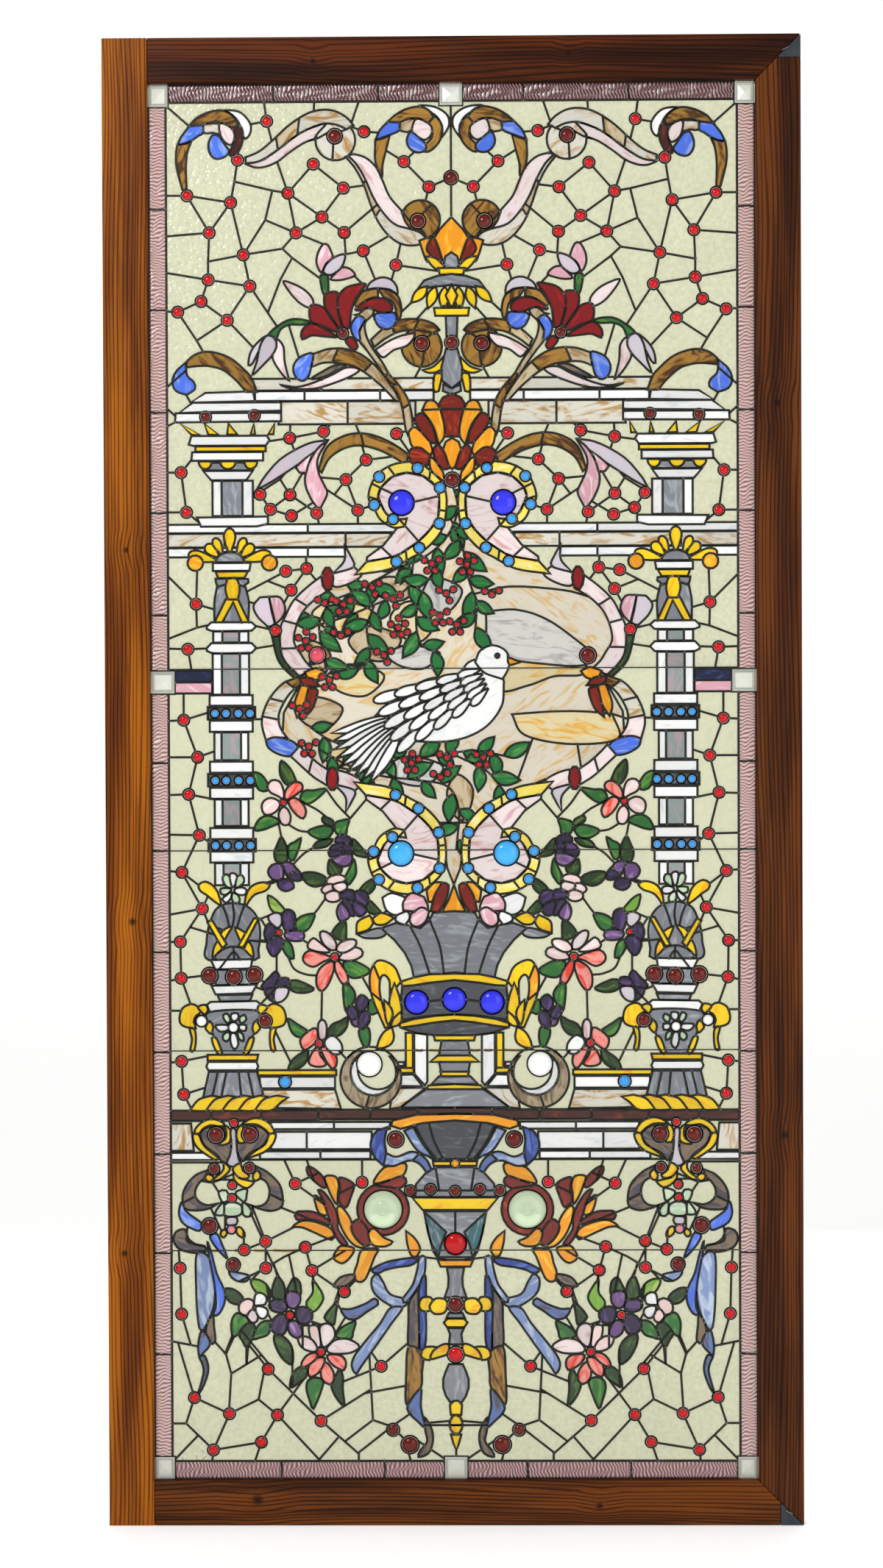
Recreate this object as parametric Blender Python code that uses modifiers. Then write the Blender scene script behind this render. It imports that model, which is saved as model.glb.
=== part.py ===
"""A leaded stained glass window in a pine frame.

The window stands on the underside of its bottom rail, with the origin at the middle of that
face: +X is to the viewer's right, +Z is up, and the front looks along -Y. The leadwork is drawn
once, for the left half, in drawn millimetres on the sight opening, and is mirrored to the right.
"""

import math

import bmesh
import bpy
from mathutils import Vector
from mathutils.geometry import delaunay_2d_cdt

# Pine frame, in metres
FRAME_WIDTH = 1.067
FRAME_HEIGHT = 2.282
FRAME_DEPTH = 0.045
MEMBER_WIDTH = 0.069
STOP_DEPTH = 0.012
REBATE_WIDTH = 0.012
SIGHT_CHAMFER = 0.003
ARRIS = 0.0012
WEDGE_LEG = 0.036
NAIL_RADIUS = 0.0011
NAIL_REACH = 0.011

# Glass, lead and steel, in metres
FIT_GAP = 0.0004
SHEET_THICKNESS = 0.0032
LEAD_DEPTH = 0.0016
CAME_WIDTH = 0.0045
EDGE_CAME_SHOW = 0.0016
PANEL_BITE = 0.009
SADDLE_BAR_RADIUS = 0.004
JEWEL_RIM = 0.0022
JEWEL_RISE = 0.0075
BLOCK_RISE = 0.006
BLOCK_BEVEL = 0.005
BEAD_SETBACK = 0.004

# The sight opening that the leadwork is drawn on, in drawn millimetres
DRAWN_WIDTH = 929.0
DRAWN_HEIGHT = 2144.0
DRAWN_FOOT = 69.0
SEAMS = (422.0, 730.0, 1038.0, 1317.0)
SECTIONS = ("foot", "lower", "middle", "medallion", "top")

RING_SIDES = 8
JEWEL_SIDES = 10
MERGE_DISTANCE = 0.00001

# Large jewels: name, place and radius in drawn millimetres, colour
JEWELS = (
    ("jewel_cobalt", -78.0, 1571.0, 19.5, "cobalt"),
    ("jewel_sky", -81.0, 1033.0, 19.5, "sky"),
    ("jewel_white", -131.0, 709.0, 19.5, "white"),
    ("rondel_clear", -111.0, 485.0, 30.0, "clear"),
    ("jewel_urn_side", -58.0, 804.0, 18.5, "cobalt"),
)
CENTRE_JEWELS = (
    ("jewel_urn_centre", 0.0, 808.0, 18.5, "cobalt"),
    ("jewel_red_centre", 0.0, 432.0, 17.0, "red"),
)
# Pressed glass blocks in the border: name, left, right, foot and head in drawn millimetres
BLOCKS = (
    ("block_top_left", -464.0, -433.0, 2178.0, 2212.0),
    ("block_side_left", -464.0, -427.0, 1280.0, 1314.0),
    ("block_bottom_left", -464.0, -433.0, 70.0, 104.0),
)
CENTRE_BLOCKS = (
    ("block_top_centre", -18.0, 18.0, 2178.0, 2212.0),
    ("block_bottom_centre", -18.0, 18.0, 70.0, 104.0),
)

# Colour, roughness and metallic value of each material
MATERIALS = {
    "pine": ((0.30, 0.13, 0.05), 0.45, 0.0),
    "dark_wedge": ((0.03, 0.04, 0.06), 0.50, 0.0),
    "steel": ((0.32, 0.31, 0.30), 0.45, 1.0),
    "lead": ((0.09, 0.09, 0.085), 0.50, 0.8),
    "field_glass": ((0.80, 0.80, 0.66), 0.15, 0.0),
    "white": ((0.90, 0.90, 0.88), 0.10, 0.0),
    "clear": ((0.78, 0.86, 0.78), 0.05, 0.0),
    "cobalt": ((0.05, 0.05, 0.75), 0.08, 0.0),
    "sky": ((0.08, 0.38, 0.80), 0.08, 0.0),
    "red": ((0.55, 0.01, 0.02), 0.08, 0.0),
}

# Worked out from the driving dimensions
HALF_WIDTH = FRAME_WIDTH / 2
SIGHT_HALF = HALF_WIDTH - MEMBER_WIDTH
SIGHT_FOOT = MEMBER_WIDTH
SIGHT_HEAD = FRAME_HEIGHT - MEMBER_WIDTH
ACROSS = 2 * SIGHT_HALF / DRAWN_WIDTH
UP = (SIGHT_HEAD - SIGHT_FOOT) / DRAWN_HEIGHT
FRONT = -FRAME_DEPTH / 2
BACK = FRAME_DEPTH / 2
SHOULDER = FRONT + STOP_DEPTH
FRONT_LEAD = SHOULDER + FIT_GAP
SHEET_FRONT = FRONT_LEAD + LEAD_DEPTH + FIT_GAP
SHEET_BACK = SHEET_FRONT + SHEET_THICKNESS
BACK_LEAD = SHEET_BACK + FIT_GAP
BEHIND_PANEL = BACK_LEAD + LEAD_DEPTH + FIT_GAP


def clear_scene():
    for thing in list(bpy.data.objects):
        bpy.data.objects.remove(thing, do_unlink=True)


def new_collection(name):
    collection = bpy.data.collections.new(name)
    bpy.context.scene.collection.children.link(collection)
    return collection


def make_material(name):
    colour, roughness, metallic = MATERIALS[name]
    material = bpy.data.materials.new(name)
    material.use_nodes = True
    shader = material.node_tree.nodes["Principled BSDF"]
    shader.inputs["Base Color"].default_value = (*colour, 1.0)
    shader.inputs["Roughness"].default_value = roughness
    shader.inputs["Metallic"].default_value = metallic
    return material


def add_mesh(name, mesh, material, collection):
    thing = bpy.data.objects.new(name, mesh)
    collection.objects.link(thing)
    if material is not None:
        thing.data.materials.append(material)
    return thing


def mesh_from(name, bm):
    mesh = bpy.data.meshes.new(name)
    bmesh.ops.recalc_face_normals(bm, faces=bm.faces)
    bm.to_mesh(mesh)
    bm.free()
    return mesh


def box(name, low, high, material, collection):
    """A box between two corners, as an object at its own middle."""
    bm = bmesh.new()
    bmesh.ops.create_cube(bm, size=1.0)
    size = [b - a for a, b in zip(low, high)]
    bmesh.ops.scale(bm, vec=size, verts=bm.verts)
    thing = add_mesh(name, mesh_from(name, bm), material, collection)
    thing.location = [(a + b) / 2 for a, b in zip(low, high)]
    return thing


def slab(name, outline, front, back, material, collection):
    """A flat outline in x and z, made solid between two depths."""
    curve = bpy.data.curves.new(name, "CURVE")
    curve.dimensions = "2D"
    curve.fill_mode = "BOTH"
    curve.extrude = (back - front) / 2
    spline = curve.splines.new("POLY")
    spline.points.add(len(outline) - 1)
    for point, (x, z) in zip(spline.points, outline):
        point.co = (x, z, 0.0, 1.0)
    spline.use_cyclic_u = True
    guide = bpy.data.objects.new(name + "_outline", curve)
    collection.objects.link(guide)
    guide.rotation_euler = (math.pi / 2, 0.0, 0.0)
    guide.location = (0.0, (front + back) / 2, 0.0)
    bpy.context.view_layer.update()
    evaluated = guide.evaluated_get(bpy.context.evaluated_depsgraph_get())
    mesh = bpy.data.meshes.new_from_object(evaluated)
    mesh.name = name
    bm = bmesh.new()
    bm.from_mesh(mesh)
    bmesh.ops.remove_doubles(bm, verts=bm.verts, dist=MERGE_DISTANCE)
    bmesh.ops.recalc_face_normals(bm, faces=bm.faces)
    bm.to_mesh(mesh)
    bm.free()
    thing = bpy.data.objects.new(name, mesh)
    collection.objects.link(thing)
    thing.matrix_world = guide.matrix_world.copy()
    bpy.data.objects.remove(guide, do_unlink=True)
    thing.data.materials.clear()
    thing.data.materials.append(material)
    return thing


def cut(thing, cutter):
    boolean = thing.modifiers.new("cut_" + cutter.name, "BOOLEAN")
    boolean.operation = "DIFFERENCE"
    boolean.solver = "EXACT"
    boolean.object = cutter


def round_arrises(thing, width):
    bevel = thing.modifiers.new("arris", "BEVEL")
    bevel.width = width
    bevel.segments = 1
    bevel.limit_method = "ANGLE"
    bevel.angle_limit = math.radians(40)


def hide_cutter(cutter):
    cutter.hide_render = True
    cutter.display_type = "WIRE"
    return cutter


def rebate_cutter(collection):
    """The rebate that the panel drops into from behind."""
    past = FRAME_DEPTH
    low = (-SIGHT_HALF - REBATE_WIDTH, SHOULDER, SIGHT_FOOT - REBATE_WIDTH)
    high = (SIGHT_HALF + REBATE_WIDTH, BACK + past, SIGHT_HEAD + REBATE_WIDTH)
    return hide_cutter(box("rebate_cutter", low, high, None, collection))


def chamfer_cutter(collection):
    """A shallow tapered block that chamfers the front edge of the sight opening."""
    reach = 2 * SIGHT_CHAMFER
    low = (-SIGHT_HALF - reach, FRONT - SIGHT_CHAMFER, SIGHT_FOOT - reach)
    high = (SIGHT_HALF + reach, FRONT + SIGHT_CHAMFER, SIGHT_HEAD + reach)
    cutter = box("chamfer_cutter", low, high, None, collection)
    for vertex in cutter.data.vertices:
        if vertex.co.y > 0:
            vertex.co.x -= math.copysign(reach, vertex.co.x)
            vertex.co.z -= math.copysign(reach, vertex.co.z)
    return hide_cutter(cutter)


def build_frame(materials, parts, cutters):
    """Left stile full height with butted rails, right corners mitred with a let-in wedge."""
    g = FIT_GAP
    left = -HALF_WIDTH
    right = HALF_WIDTH
    butt = -SIGHT_HALF
    leg = WEDGE_LEG
    outlines = {
        "stile_left": [(left, 0.0), (butt, 0.0), (butt, FRAME_HEIGHT), (left, FRAME_HEIGHT)],
        "rail_top": [(butt + g, SIGHT_HEAD), (SIGHT_HALF - g, SIGHT_HEAD),
                     (right - g, FRAME_HEIGHT), (butt + g, FRAME_HEIGHT)],
        "stile_right": [(right, g), (right, FRAME_HEIGHT - leg), (right - leg, FRAME_HEIGHT - leg),
                        (SIGHT_HALF, SIGHT_HEAD - g), (SIGHT_HALF, SIGHT_FOOT + g)],
        "rail_bottom": [(butt + g, 0.0), (right - leg, 0.0), (right - leg, leg - g),
                        (SIGHT_HALF - g, SIGHT_FOOT), (butt + g, SIGHT_FOOT)],
        "wedge_top": [(right, FRAME_HEIGHT - leg + g), (right, FRAME_HEIGHT - 2 * g),
                      (right - leg + 2 * g, FRAME_HEIGHT - leg + g)],
        "wedge_bottom": [(right - leg + g, 0.0), (right - 2 * g, 0.0), (right - leg + g, leg - 3 * g)],
    }
    tools = (rebate_cutter(cutters), chamfer_cutter(cutters))
    for name, outline in outlines.items():
        is_wedge = name.startswith("wedge")
        material = materials["dark_wedge" if is_wedge else "pine"]
        member = slab(name, outline, FRONT, BACK, material, parts)
        if not is_wedge:
            for tool in tools:
                cut(member, tool)
            round_arrises(member, ARRIS)


def build_nails(materials, parts):
    """A small bent nail stands proud of the frame's face at each right-hand corner."""
    spots = {
        "nail_top": (HALF_WIDTH - WEDGE_LEG / 2, FRAME_HEIGHT - WEDGE_LEG / 2 - 6 * FIT_GAP, -1),
        "nail_bottom": (HALF_WIDTH - WEDGE_LEG / 2, WEDGE_LEG / 2, 1),
    }
    for name, (x, z, turn) in spots.items():
        curve = bpy.data.curves.new(name, "CURVE")
        curve.dimensions = "3D"
        curve.bevel_depth = NAIL_RADIUS
        curve.bevel_resolution = 2
        curve.use_fill_caps = True
        spline = curve.splines.new("POLY")
        start = FRONT - NAIL_RADIUS - FIT_GAP
        bend = ((0.0, 0.0), (0.35, 0.08), (0.7, 0.25), (1.0, 0.55))
        spline.points.add(len(bend) - 1)
        for point, (along, out) in zip(spline.points, bend):
            point.co = (x - along * NAIL_REACH, start - out * NAIL_RADIUS * 3,
                        z + turn * along * NAIL_REACH / 2, 1.0)
        nail = bpy.data.objects.new(name, curve)
        parts.objects.link(nail)
        curve.materials.append(materials["steel"])


def build_beads(materials, parts):
    """Square beads in the rebate hold the panel from behind."""
    g = FIT_GAP
    inner = SIGHT_HALF + g
    outer = SIGHT_HALF + REBATE_WIDTH - g
    foot = SIGHT_FOOT - REBATE_WIDTH + g
    head = SIGHT_HEAD + REBATE_WIDTH - g
    back = BACK - BEAD_SETBACK
    spans = {
        "bead_left": (-outer, -inner, foot, head),
        "bead_right": (inner, outer, foot, head),
        "bead_top": (-inner + g, inner - g, SIGHT_HEAD + g, head),
        "bead_bottom": (-inner + g, inner - g, foot, SIGHT_FOOT - g),
    }
    for name, (left, right, low, high) in spans.items():
        box(name, (left, BEHIND_PANEL, low), (right, back, high), materials["pine"], parts)


def place(x, z):
    """Carry a drawn point, in drawn millimetres, to metres in the sight opening."""
    return Vector((x * ACROSS, SIGHT_FOOT + (z - DRAWN_FOOT) * UP))


def ring(x, z, across, up=None, sides=RING_SIDES):
    """A closed oval of drawn half-width and half-height."""
    up = across if up is None else up
    turns = [2 * math.pi * k / sides for k in range(sides + 1)]
    return [(x + across * math.cos(t), z + up * math.sin(t)) for t in turns]


def mirrored(lines, axis=0.0):
    """The lines with their mirror image about an upright axis."""
    return lines + [[(2 * axis - x, z) for x, z in line] for line in lines]


def border_lines():
    """The patterned border: its inner edge, and the bar beside each middle block."""
    return [[(-437, 97), (-437, 2185)], [(-437, 2185), (0, 2185)], [(-437, 97), (0, 97)],
            [(-437, 1296), (-367, 1296)]]


def crest_lines():
    """Hooked leaves and S-scrolls under the top border."""
    hook = [(-407, 2050), (-421, 2105), (-400, 2152), (-355, 2170), (-309, 2150), (-324, 2103)]
    middle_hook = [(-81, 2012), (-108, 2072), (-115, 2130), (-80, 2167), (-30, 2172), (0, 2140)]
    high_scroll = [(-324, 2103), (-255, 2147), (-215, 2168), (-185, 2157)]
    fall = [(-155, 2106), (-115, 2080), (-81, 2012)]
    fall_inside = [(-167, 2100), (-138, 2070), (-120, 2015), (-98, 1982), (-60, 1980)]
    ties = [[(-407, 2050), (-338, 2032), (-324, 2103)], [(-178, 2158), (-178, 2185)],
            [(-437, 2045), (-407, 2050)], [(-338, 2032), (-309, 1904), (-360, 1802)]]
    return [hook, middle_hook, high_scroll, fall, fall_inside, ring(-178, 2127, 31), ring(-53, 2005, 28)] + ties


def finial_lines():
    """Petals, dome and crown on the centre line between the two S-scrolls."""
    return [[(0, 2005), (-29, 1978), (-46, 1962), (-18, 1928), (-52, 1900), (-61, 1877), (-27, 1857),
             (-14, 1825)], [(0, 2005), (0, 2185)]]


def volute_lines():
    """Rolled leaf scrolls that stand on the upper shelf."""
    far_leaf = [(-300, 1742), (-319, 1777), (-360, 1802), (-405, 1790), (-428, 1757), (-400, 1742)]
    low_leaf = [(-77, 1742), (-125, 1790), (-163, 1806), (-211, 1805), (-243, 1778), (-225, 1763)]
    stem = [(-77, 1742), (-118, 1806), (-122, 1820), (-78, 1855), (-82, 1900), (-110, 1916),
            (-140, 1900), (-155, 1862), (-140, 1810)]
    roll = [(-78, 1853), (-40, 1853), (-14, 1825), (-22, 1788), (-50, 1777), (-78, 1800), (-122, 1820)]
    flower = [(-155, 1862), (-136, 1907), (-198, 1893), (-211, 1805)]
    return [far_leaf, low_leaf, stem, roll, flower]


def shelf_lines():
    """Moulded courses of the upper shelf, and the ledge half way down it."""
    return [[(-437, 1712), (-380, 1742), (0, 1742)], [(-303, 1763), (-100, 1763)],
            [(-437, 1693), (-66, 1693)], [(-77, 1742), (-66, 1693), (-64, 1630)],
            [(-437, 1536), (-104, 1536)], [(-437, 1488), (-407, 1488)], [(-275, 1488), (-165, 1488)]]


def column_lines():
    """The side column: bell, shaft, palmette, jewelled courses, bulb, vase and foot."""
    axis = -342
    half = [[(-400, 1693), (-400, 1661), (-370, 1606), (-370, 1536)],
            [(axis, 1533), (-372, 1522), (-407, 1488), (-366, 1482), (-366, 985), (-385, 930), (-368, 872),
             (-368, 820), (-383, 800), (-350, 727), (-381, 712), (-408, 637)]]
    lines = mirrored(half, axis)
    reaches = ((1661, 58), (1606, 28), (1482, 25), (1342, 25), (1238, 25), (1134, 25), (1020, 25), (846, 26))
    return lines + [[(axis - reach, z), (axis + reach, z)] for z, reach in reaches]


def medallion_lines():
    """The two great volutes and the band that joins them into an oval round the picture."""
    high = [(-178, 1450), (-86, 1470), (-15, 1532), (-9, 1580), (-40, 1622), (-75, 1633),
            (-118, 1612), (-128, 1572), (-108, 1543), (-73, 1536), (-187, 1458)]
    band_outer = [(-187, 1458), (-232, 1436), (-266, 1370), (-244, 1305), (-285, 1265),
                  (-290, 1205), (-236, 1169), (-184, 1144)]
    band_inner = [(-178, 1450), (-236, 1390), (-222, 1305), (-247, 1240), (-184, 1148)]
    low = [(-184, 1148), (-138, 1148), (-44, 1097), (-10, 1053), (-9, 1008), (-42, 976), (-92, 970),
           (-125, 1002), (-119, 1042), (-72, 1058), (-134, 1116), (-184, 1144)]
    petals = [[(-64, 1640), (0, 1606)], [(-66, 1693), (-35, 1727), (0, 1662)], [(-78, 1571), (-9, 1580)]]
    return [high, band_outer, band_inner, low] + petals + [[(-294, 1240), (-317, 1240)]]


def urn_lines():
    """The great urn, its handles and its stepped foot, on the centre line."""
    return [[(-42, 976), (-88, 926), (-112, 917), (-63, 840), (-82, 833), (-82, 770), (-30, 750),
             (-20, 690), (-43, 671), (-80, 640)], [(-82, 833), (0, 843)], [(-82, 772), (0, 780)],
            [(-30, 750), (0, 750)], [(-43, 673), (0, 673)], [(-82, 804), (0, 808)],
            [(-82, 833), (-104, 866), (-127, 845), (-107, 763), (-82, 770)], [(-107, 763), (-119, 725)]]


def ledge_lines():
    """The lower ledge, the dark bar under it and the block courses."""
    crescent = [(-142, 706), (-184, 690), (-170, 655), (-135, 639), (-97, 655), (-90, 690), (-120, 706)]
    return [[(-437, 637), (0, 640)], [(-437, 624), (0, 630)], [(-303, 697), (-184, 697)], crescent,
            [(-281, 608), (-106, 610)], [(-305, 562), (-130, 562)]]


def bracket_lines():
    """The mask-like bracket under the side column, its ribbons and hanging drop."""
    axis = -343
    half = [[(axis, 627), (-398, 610), (axis, 556), (-412, 530), (-422, 498), (axis, 478)]]
    return mirrored(half, axis) + [[(axis, 478), (axis, 422)], [(-264, 498), (-206, 510)]]


def cornucopia_lines():
    """Acanthus leaves that curl round the clear rondel."""
    leaves = [[(-122, 473), (-192, 442), (-250, 462), (-190, 480), (-228, 550), (-160, 528), (-124, 489)]]
    eye = [(-104, 503), (-130, 562), (-130, 595), (-106, 610), (-78, 600), (-60, 565), (-38, 530)]
    return leaves + [eye]


def torch_lines():
    """The lower standard on the centre line, from its ribbed dome to its tip."""
    outline = [(-60, 630), (-36, 562), (-38, 530), (-70, 508), (-28, 411), (-18, 350), (-56, 341),
               (-16, 330), (-16, 280), (-54, 266), (-13, 256), (-22, 225), (-12, 170), (0, 97)]
    rungs = [[(left, z), (0, z)] for left, z in ((-36, 562), (-69, 508), (-59, 483), (-28, 411))]
    ribbon = [[(-28, 411), (-70, 395), (-120, 390), (-76, 345), (-78, 180), (-44, 140), (-70, 97)],
              [(-76, 345), (-160, 250)]]
    return [outline] + rungs + ribbon


def ground_lines():
    """A few straight cames tie the lower ground together."""
    return [[(-343, 422), (-350, 170), (-437, 155)], [(-350, 170), (-208, 160), (-160, 250)],
            [(-208, 160), (-152, 97)]]


def drawn_lines():
    """Every main came of the left half and its mirror image."""
    groups = (border_lines, crest_lines, finial_lines, volute_lines, shelf_lines, column_lines,
              medallion_lines, urn_lines, ledge_lines, bracket_lines, cornucopia_lines, torch_lines,
              ground_lines)
    return mirrored([line for group in groups for line in group()])


def anticlockwise(outline):
    area = sum(a[0] * b[1] - b[0] * a[1] for a, b in zip(outline, outline[1:] + outline[:1]))
    return outline if area > 0 else outline[::-1]


def came_strips(line, width):
    """Quads of the came's width along a line of points, with mitred bends."""
    points = [place(x, z) for x, z in line]
    closed = (points[0] - points[-1]).length < MERGE_DISTANCE
    offsets = []
    for i, point in enumerate(points):
        before = points[i - 1] if i > 0 else (points[-2] if closed else None)
        after = points[i + 1] if i + 1 < len(points) else (points[1] if closed else None)
        normals = []
        for a, b in ((before, point), (point, after)):
            if a is not None and b is not None:
                step = (b - a).normalized()
                normals.append(Vector((-step.y, step.x)))
        mean = sum(normals, Vector((0.0, 0.0))).normalized()
        stretch = min(1 / max(mean.dot(normals[0]), 0.5), 2.0)
        offsets.append(mean * stretch * width / 2)
    quads = []
    for i in range(len(points) - 1):
        quads.append([points[i] - offsets[i], points[i + 1] - offsets[i + 1],
                      points[i + 1] + offsets[i + 1], points[i] + offsets[i]])
    return quads


def disc(x, z, radius, sides):
    """A regular polygon in metres round a drawn point."""
    middle = place(x, z)
    turns = [2 * math.pi * (k + 0.5) / sides for k in range(sides)]
    return [middle + radius * Vector((math.cos(t), math.sin(t))) for t in turns]


def rectangle(left, right, foot, head):
    return [Vector((left, foot)), Vector((right, foot)), Vector((right, head)), Vector((left, head))]


def all_jewels():
    """Each large jewel with its mirror image, as name, place, radius in metres and colour."""
    jewels = [(name + "_left", x, z, radius, colour) for name, x, z, radius, colour in JEWELS]
    jewels += [(name + "_right", -x, z, radius, colour) for name, x, z, radius, colour in JEWELS]
    return [(name, x, z, radius * min(ACROSS, UP), colour)
            for name, x, z, radius, colour in jewels + list(CENTRE_JEWELS)]


def all_blocks():
    """Each border block with its mirror image, as name and span in metres."""
    blocks = list(BLOCKS) + list(CENTRE_BLOCKS)
    blocks += [(name.replace("left", "right"), -right, -left, foot, head)
               for name, left, right, foot, head in BLOCKS]
    spans = []
    for name, left, right, foot, head in blocks:
        low = place(left, foot)
        high = place(right, head)
        spans.append((name, low.x, high.x, low.y, high.y))
    return spans


def seat_outlines(extra):
    """The holes that jewels and blocks sit in, grown by a margin."""
    holes = [disc(x, z, radius + extra, JEWEL_SIDES) for _, x, z, radius, _ in all_jewels()]
    holes += [rectangle(left - extra, right + extra, foot - extra, head + extra)
              for _, left, right, foot, head in all_blocks()]
    return holes


def seat_fillings():
    """Lead that fills behind the stop wherever a block's came would otherwise hang free."""
    return seat_outlines(FIT_GAP + CAME_WIDTH * 0.7)


def section_spans():
    """Each panel section as name, foot and head in metres, with a gap at each seam."""
    seams = [place(0, z).y for z in SEAMS]
    feet = [SIGHT_FOOT - PANEL_BITE] + [seam + FIT_GAP / 2 for seam in seams]
    heads = [seam - FIT_GAP / 2 for seam in seams] + [SIGHT_HEAD + PANEL_BITE]
    return list(zip(SECTIONS, feet, heads))


def edge_strips():
    """The came round the panel, most of it hidden in the rebate, and one along each seam."""
    outer = SIGHT_HALF + PANEL_BITE
    inner = SIGHT_HALF - EDGE_CAME_SHOW
    foot = SIGHT_FOOT - PANEL_BITE
    head = SIGHT_HEAD + PANEL_BITE
    strips = [rectangle(-outer, -inner, foot, head), rectangle(inner, outer, foot, head),
              rectangle(-outer, outer, foot, SIGHT_FOOT + EDGE_CAME_SHOW),
              rectangle(-outer, outer, SIGHT_HEAD - EDGE_CAME_SHOW, head)]
    for z in SEAMS:
        seam = place(0, z).y
        strips.append(rectangle(-outer, outer, seam - CAME_WIDTH * 0.6, seam + CAME_WIDTH * 0.6))
    return strips


def kept_triangles(lead, holes, windows, is_kept):
    """Overlay the outlines, and give the triangles that each window keeps."""
    points = []
    faces = []
    for outline in lead + holes + windows:
        first = len(points)
        points.extend(anticlockwise(outline))
        faces.append(list(range(first, len(points))))
    verts, _, triangles, _, _, owners = delaunay_2d_cdt(points, [], faces, 1, MERGE_DISTANCE, True)
    kept = [[] for _ in windows]
    for triangle, owner in zip(triangles, owners):
        in_lead = any(k < len(lead) for k in owner)
        in_hole = any(len(lead) <= k < len(lead) + len(holes) for k in owner)
        for k in owner:
            if k >= len(lead) + len(holes) and is_kept(in_lead, in_hole):
                kept[k - len(lead) - len(holes)].append(tuple(triangle))
    return verts, kept


def border_loops(triangles):
    """The directed outlines of a patch of triangles, with the patch on their left."""
    directed = {(t[i], t[(i + 1) % 3]) for t in triangles for i in range(3)}
    follow = {a: b for a, b in directed if (b, a) not in directed}
    loops = []
    while follow:
        start, here = next(iter(follow.items()))
        loop = [start]
        del follow[start]
        while here != start:
            loop.append(here)
            here = follow.pop(here)
        loops.append(loop)
    return loops


def without_straight_points(verts, loop):
    """Drop the points of a loop that lie on a straight run."""
    kept = []
    for i, here in enumerate(loop):
        before = verts[loop[i - 1]]
        after = verts[loop[(i + 1) % len(loop)]]
        span = after - before
        offset = abs(span.x * (verts[here].y - before.y) - span.y * (verts[here].x - before.x))
        if offset > MERGE_DISTANCE * max(span.length, MERGE_DISTANCE):
            kept.append(here)
    return kept


def fewest_triangles(verts, triangles):
    """Triangulate a patch again from its outlines alone."""
    loops = [without_straight_points(verts, loop) for loop in border_loops(triangles)]
    points = []
    edges = []
    for loop in loops:
        first = len(points)
        count = len(loop)
        points.extend(verts[k] for k in loop)
        edges.extend((first + k, first + (k + 1) % count) for k in range(count))
    out, _, faces, sources, _, _ = delaunay_2d_cdt(points, edges, [], 1, MERGE_DISTANCE / 10, True)
    new_index = {old: new for new, olds in enumerate(sources) for old in olds}
    inward = {(new_index[a], new_index[b]) for a, b in edges}
    inside = {}
    beside = {}
    for number, face in enumerate(faces):
        for i in range(3):
            edge = (face[i], face[(i + 1) % 3])
            beside[edge] = number
            if edge in inward:
                inside[number] = True
            elif edge[::-1] in inward:
                inside[number] = False
    waiting = list(inside)
    while waiting:
        number = waiting.pop()
        face = faces[number]
        for i in range(3):
            edge = (face[i], face[(i + 1) % 3])
            other = beside.get(edge[::-1])
            crosses = edge in inward or edge[::-1] in inward
            if other is not None and not crosses and other not in inside:
                inside[other] = inside[number]
                waiting.append(other)
    return out, [faces[k] for k in range(len(faces)) if inside.get(k)]


def plate(name, verts, triangles, front, depth, material, collection):
    """A flat patch of triangles thickened towards the back."""
    verts, triangles = fewest_triangles(verts, triangles)
    used = sorted({k for triangle in triangles for k in triangle})
    place_of = {old: new for new, old in enumerate(used)}
    mesh = bpy.data.meshes.new(name)
    mesh.from_pydata([(verts[k].x, front, verts[k].y) for k in used], [],
                     [[place_of[k] for k in triangle] for triangle in triangles])
    thing = add_mesh(name, mesh, material, collection)
    solidify = thing.modifiers.new("thickness", "SOLIDIFY")
    solidify.thickness = depth
    solidify.offset = -1.0
    return thing


def build_panel(materials, parts):
    """Each section is a sheet of glass between a front and a back net of lead."""
    windows = []
    outer = SIGHT_HALF + PANEL_BITE
    spans = section_spans()
    for _, foot, head in spans:
        windows.append(rectangle(-outer, outer, foot, head))
    holes = seat_outlines(FIT_GAP)
    lead = edge_strips() + seat_fillings()
    for line in drawn_lines():
        lead += came_strips(line, CAME_WIDTH)
    front = kept_triangles(lead, holes, windows, lambda in_lead, in_hole: in_lead and not in_hole)
    sheet = kept_triangles([], holes, windows, lambda in_lead, in_hole: not in_hole)
    back_lead = edge_strips()
    for line in mirrored(border_lines()[:3]):
        back_lead += came_strips(line, CAME_WIDTH)
    back = kept_triangles(back_lead, [], windows, lambda in_lead, in_hole: in_lead)
    for number, (name, _, _) in enumerate(spans):
        plate("lead_front_" + name, front[0], front[1][number], FRONT_LEAD, LEAD_DEPTH,
              materials["lead"], parts)
        plate("glass_" + name, sheet[0], sheet[1][number], SHEET_FRONT, SHEET_THICKNESS,
              materials["field_glass"], parts)
        plate("lead_back_" + name, back[0], back[1][number], BACK_LEAD, LEAD_DEPTH,
              materials["lead"], parts)


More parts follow.
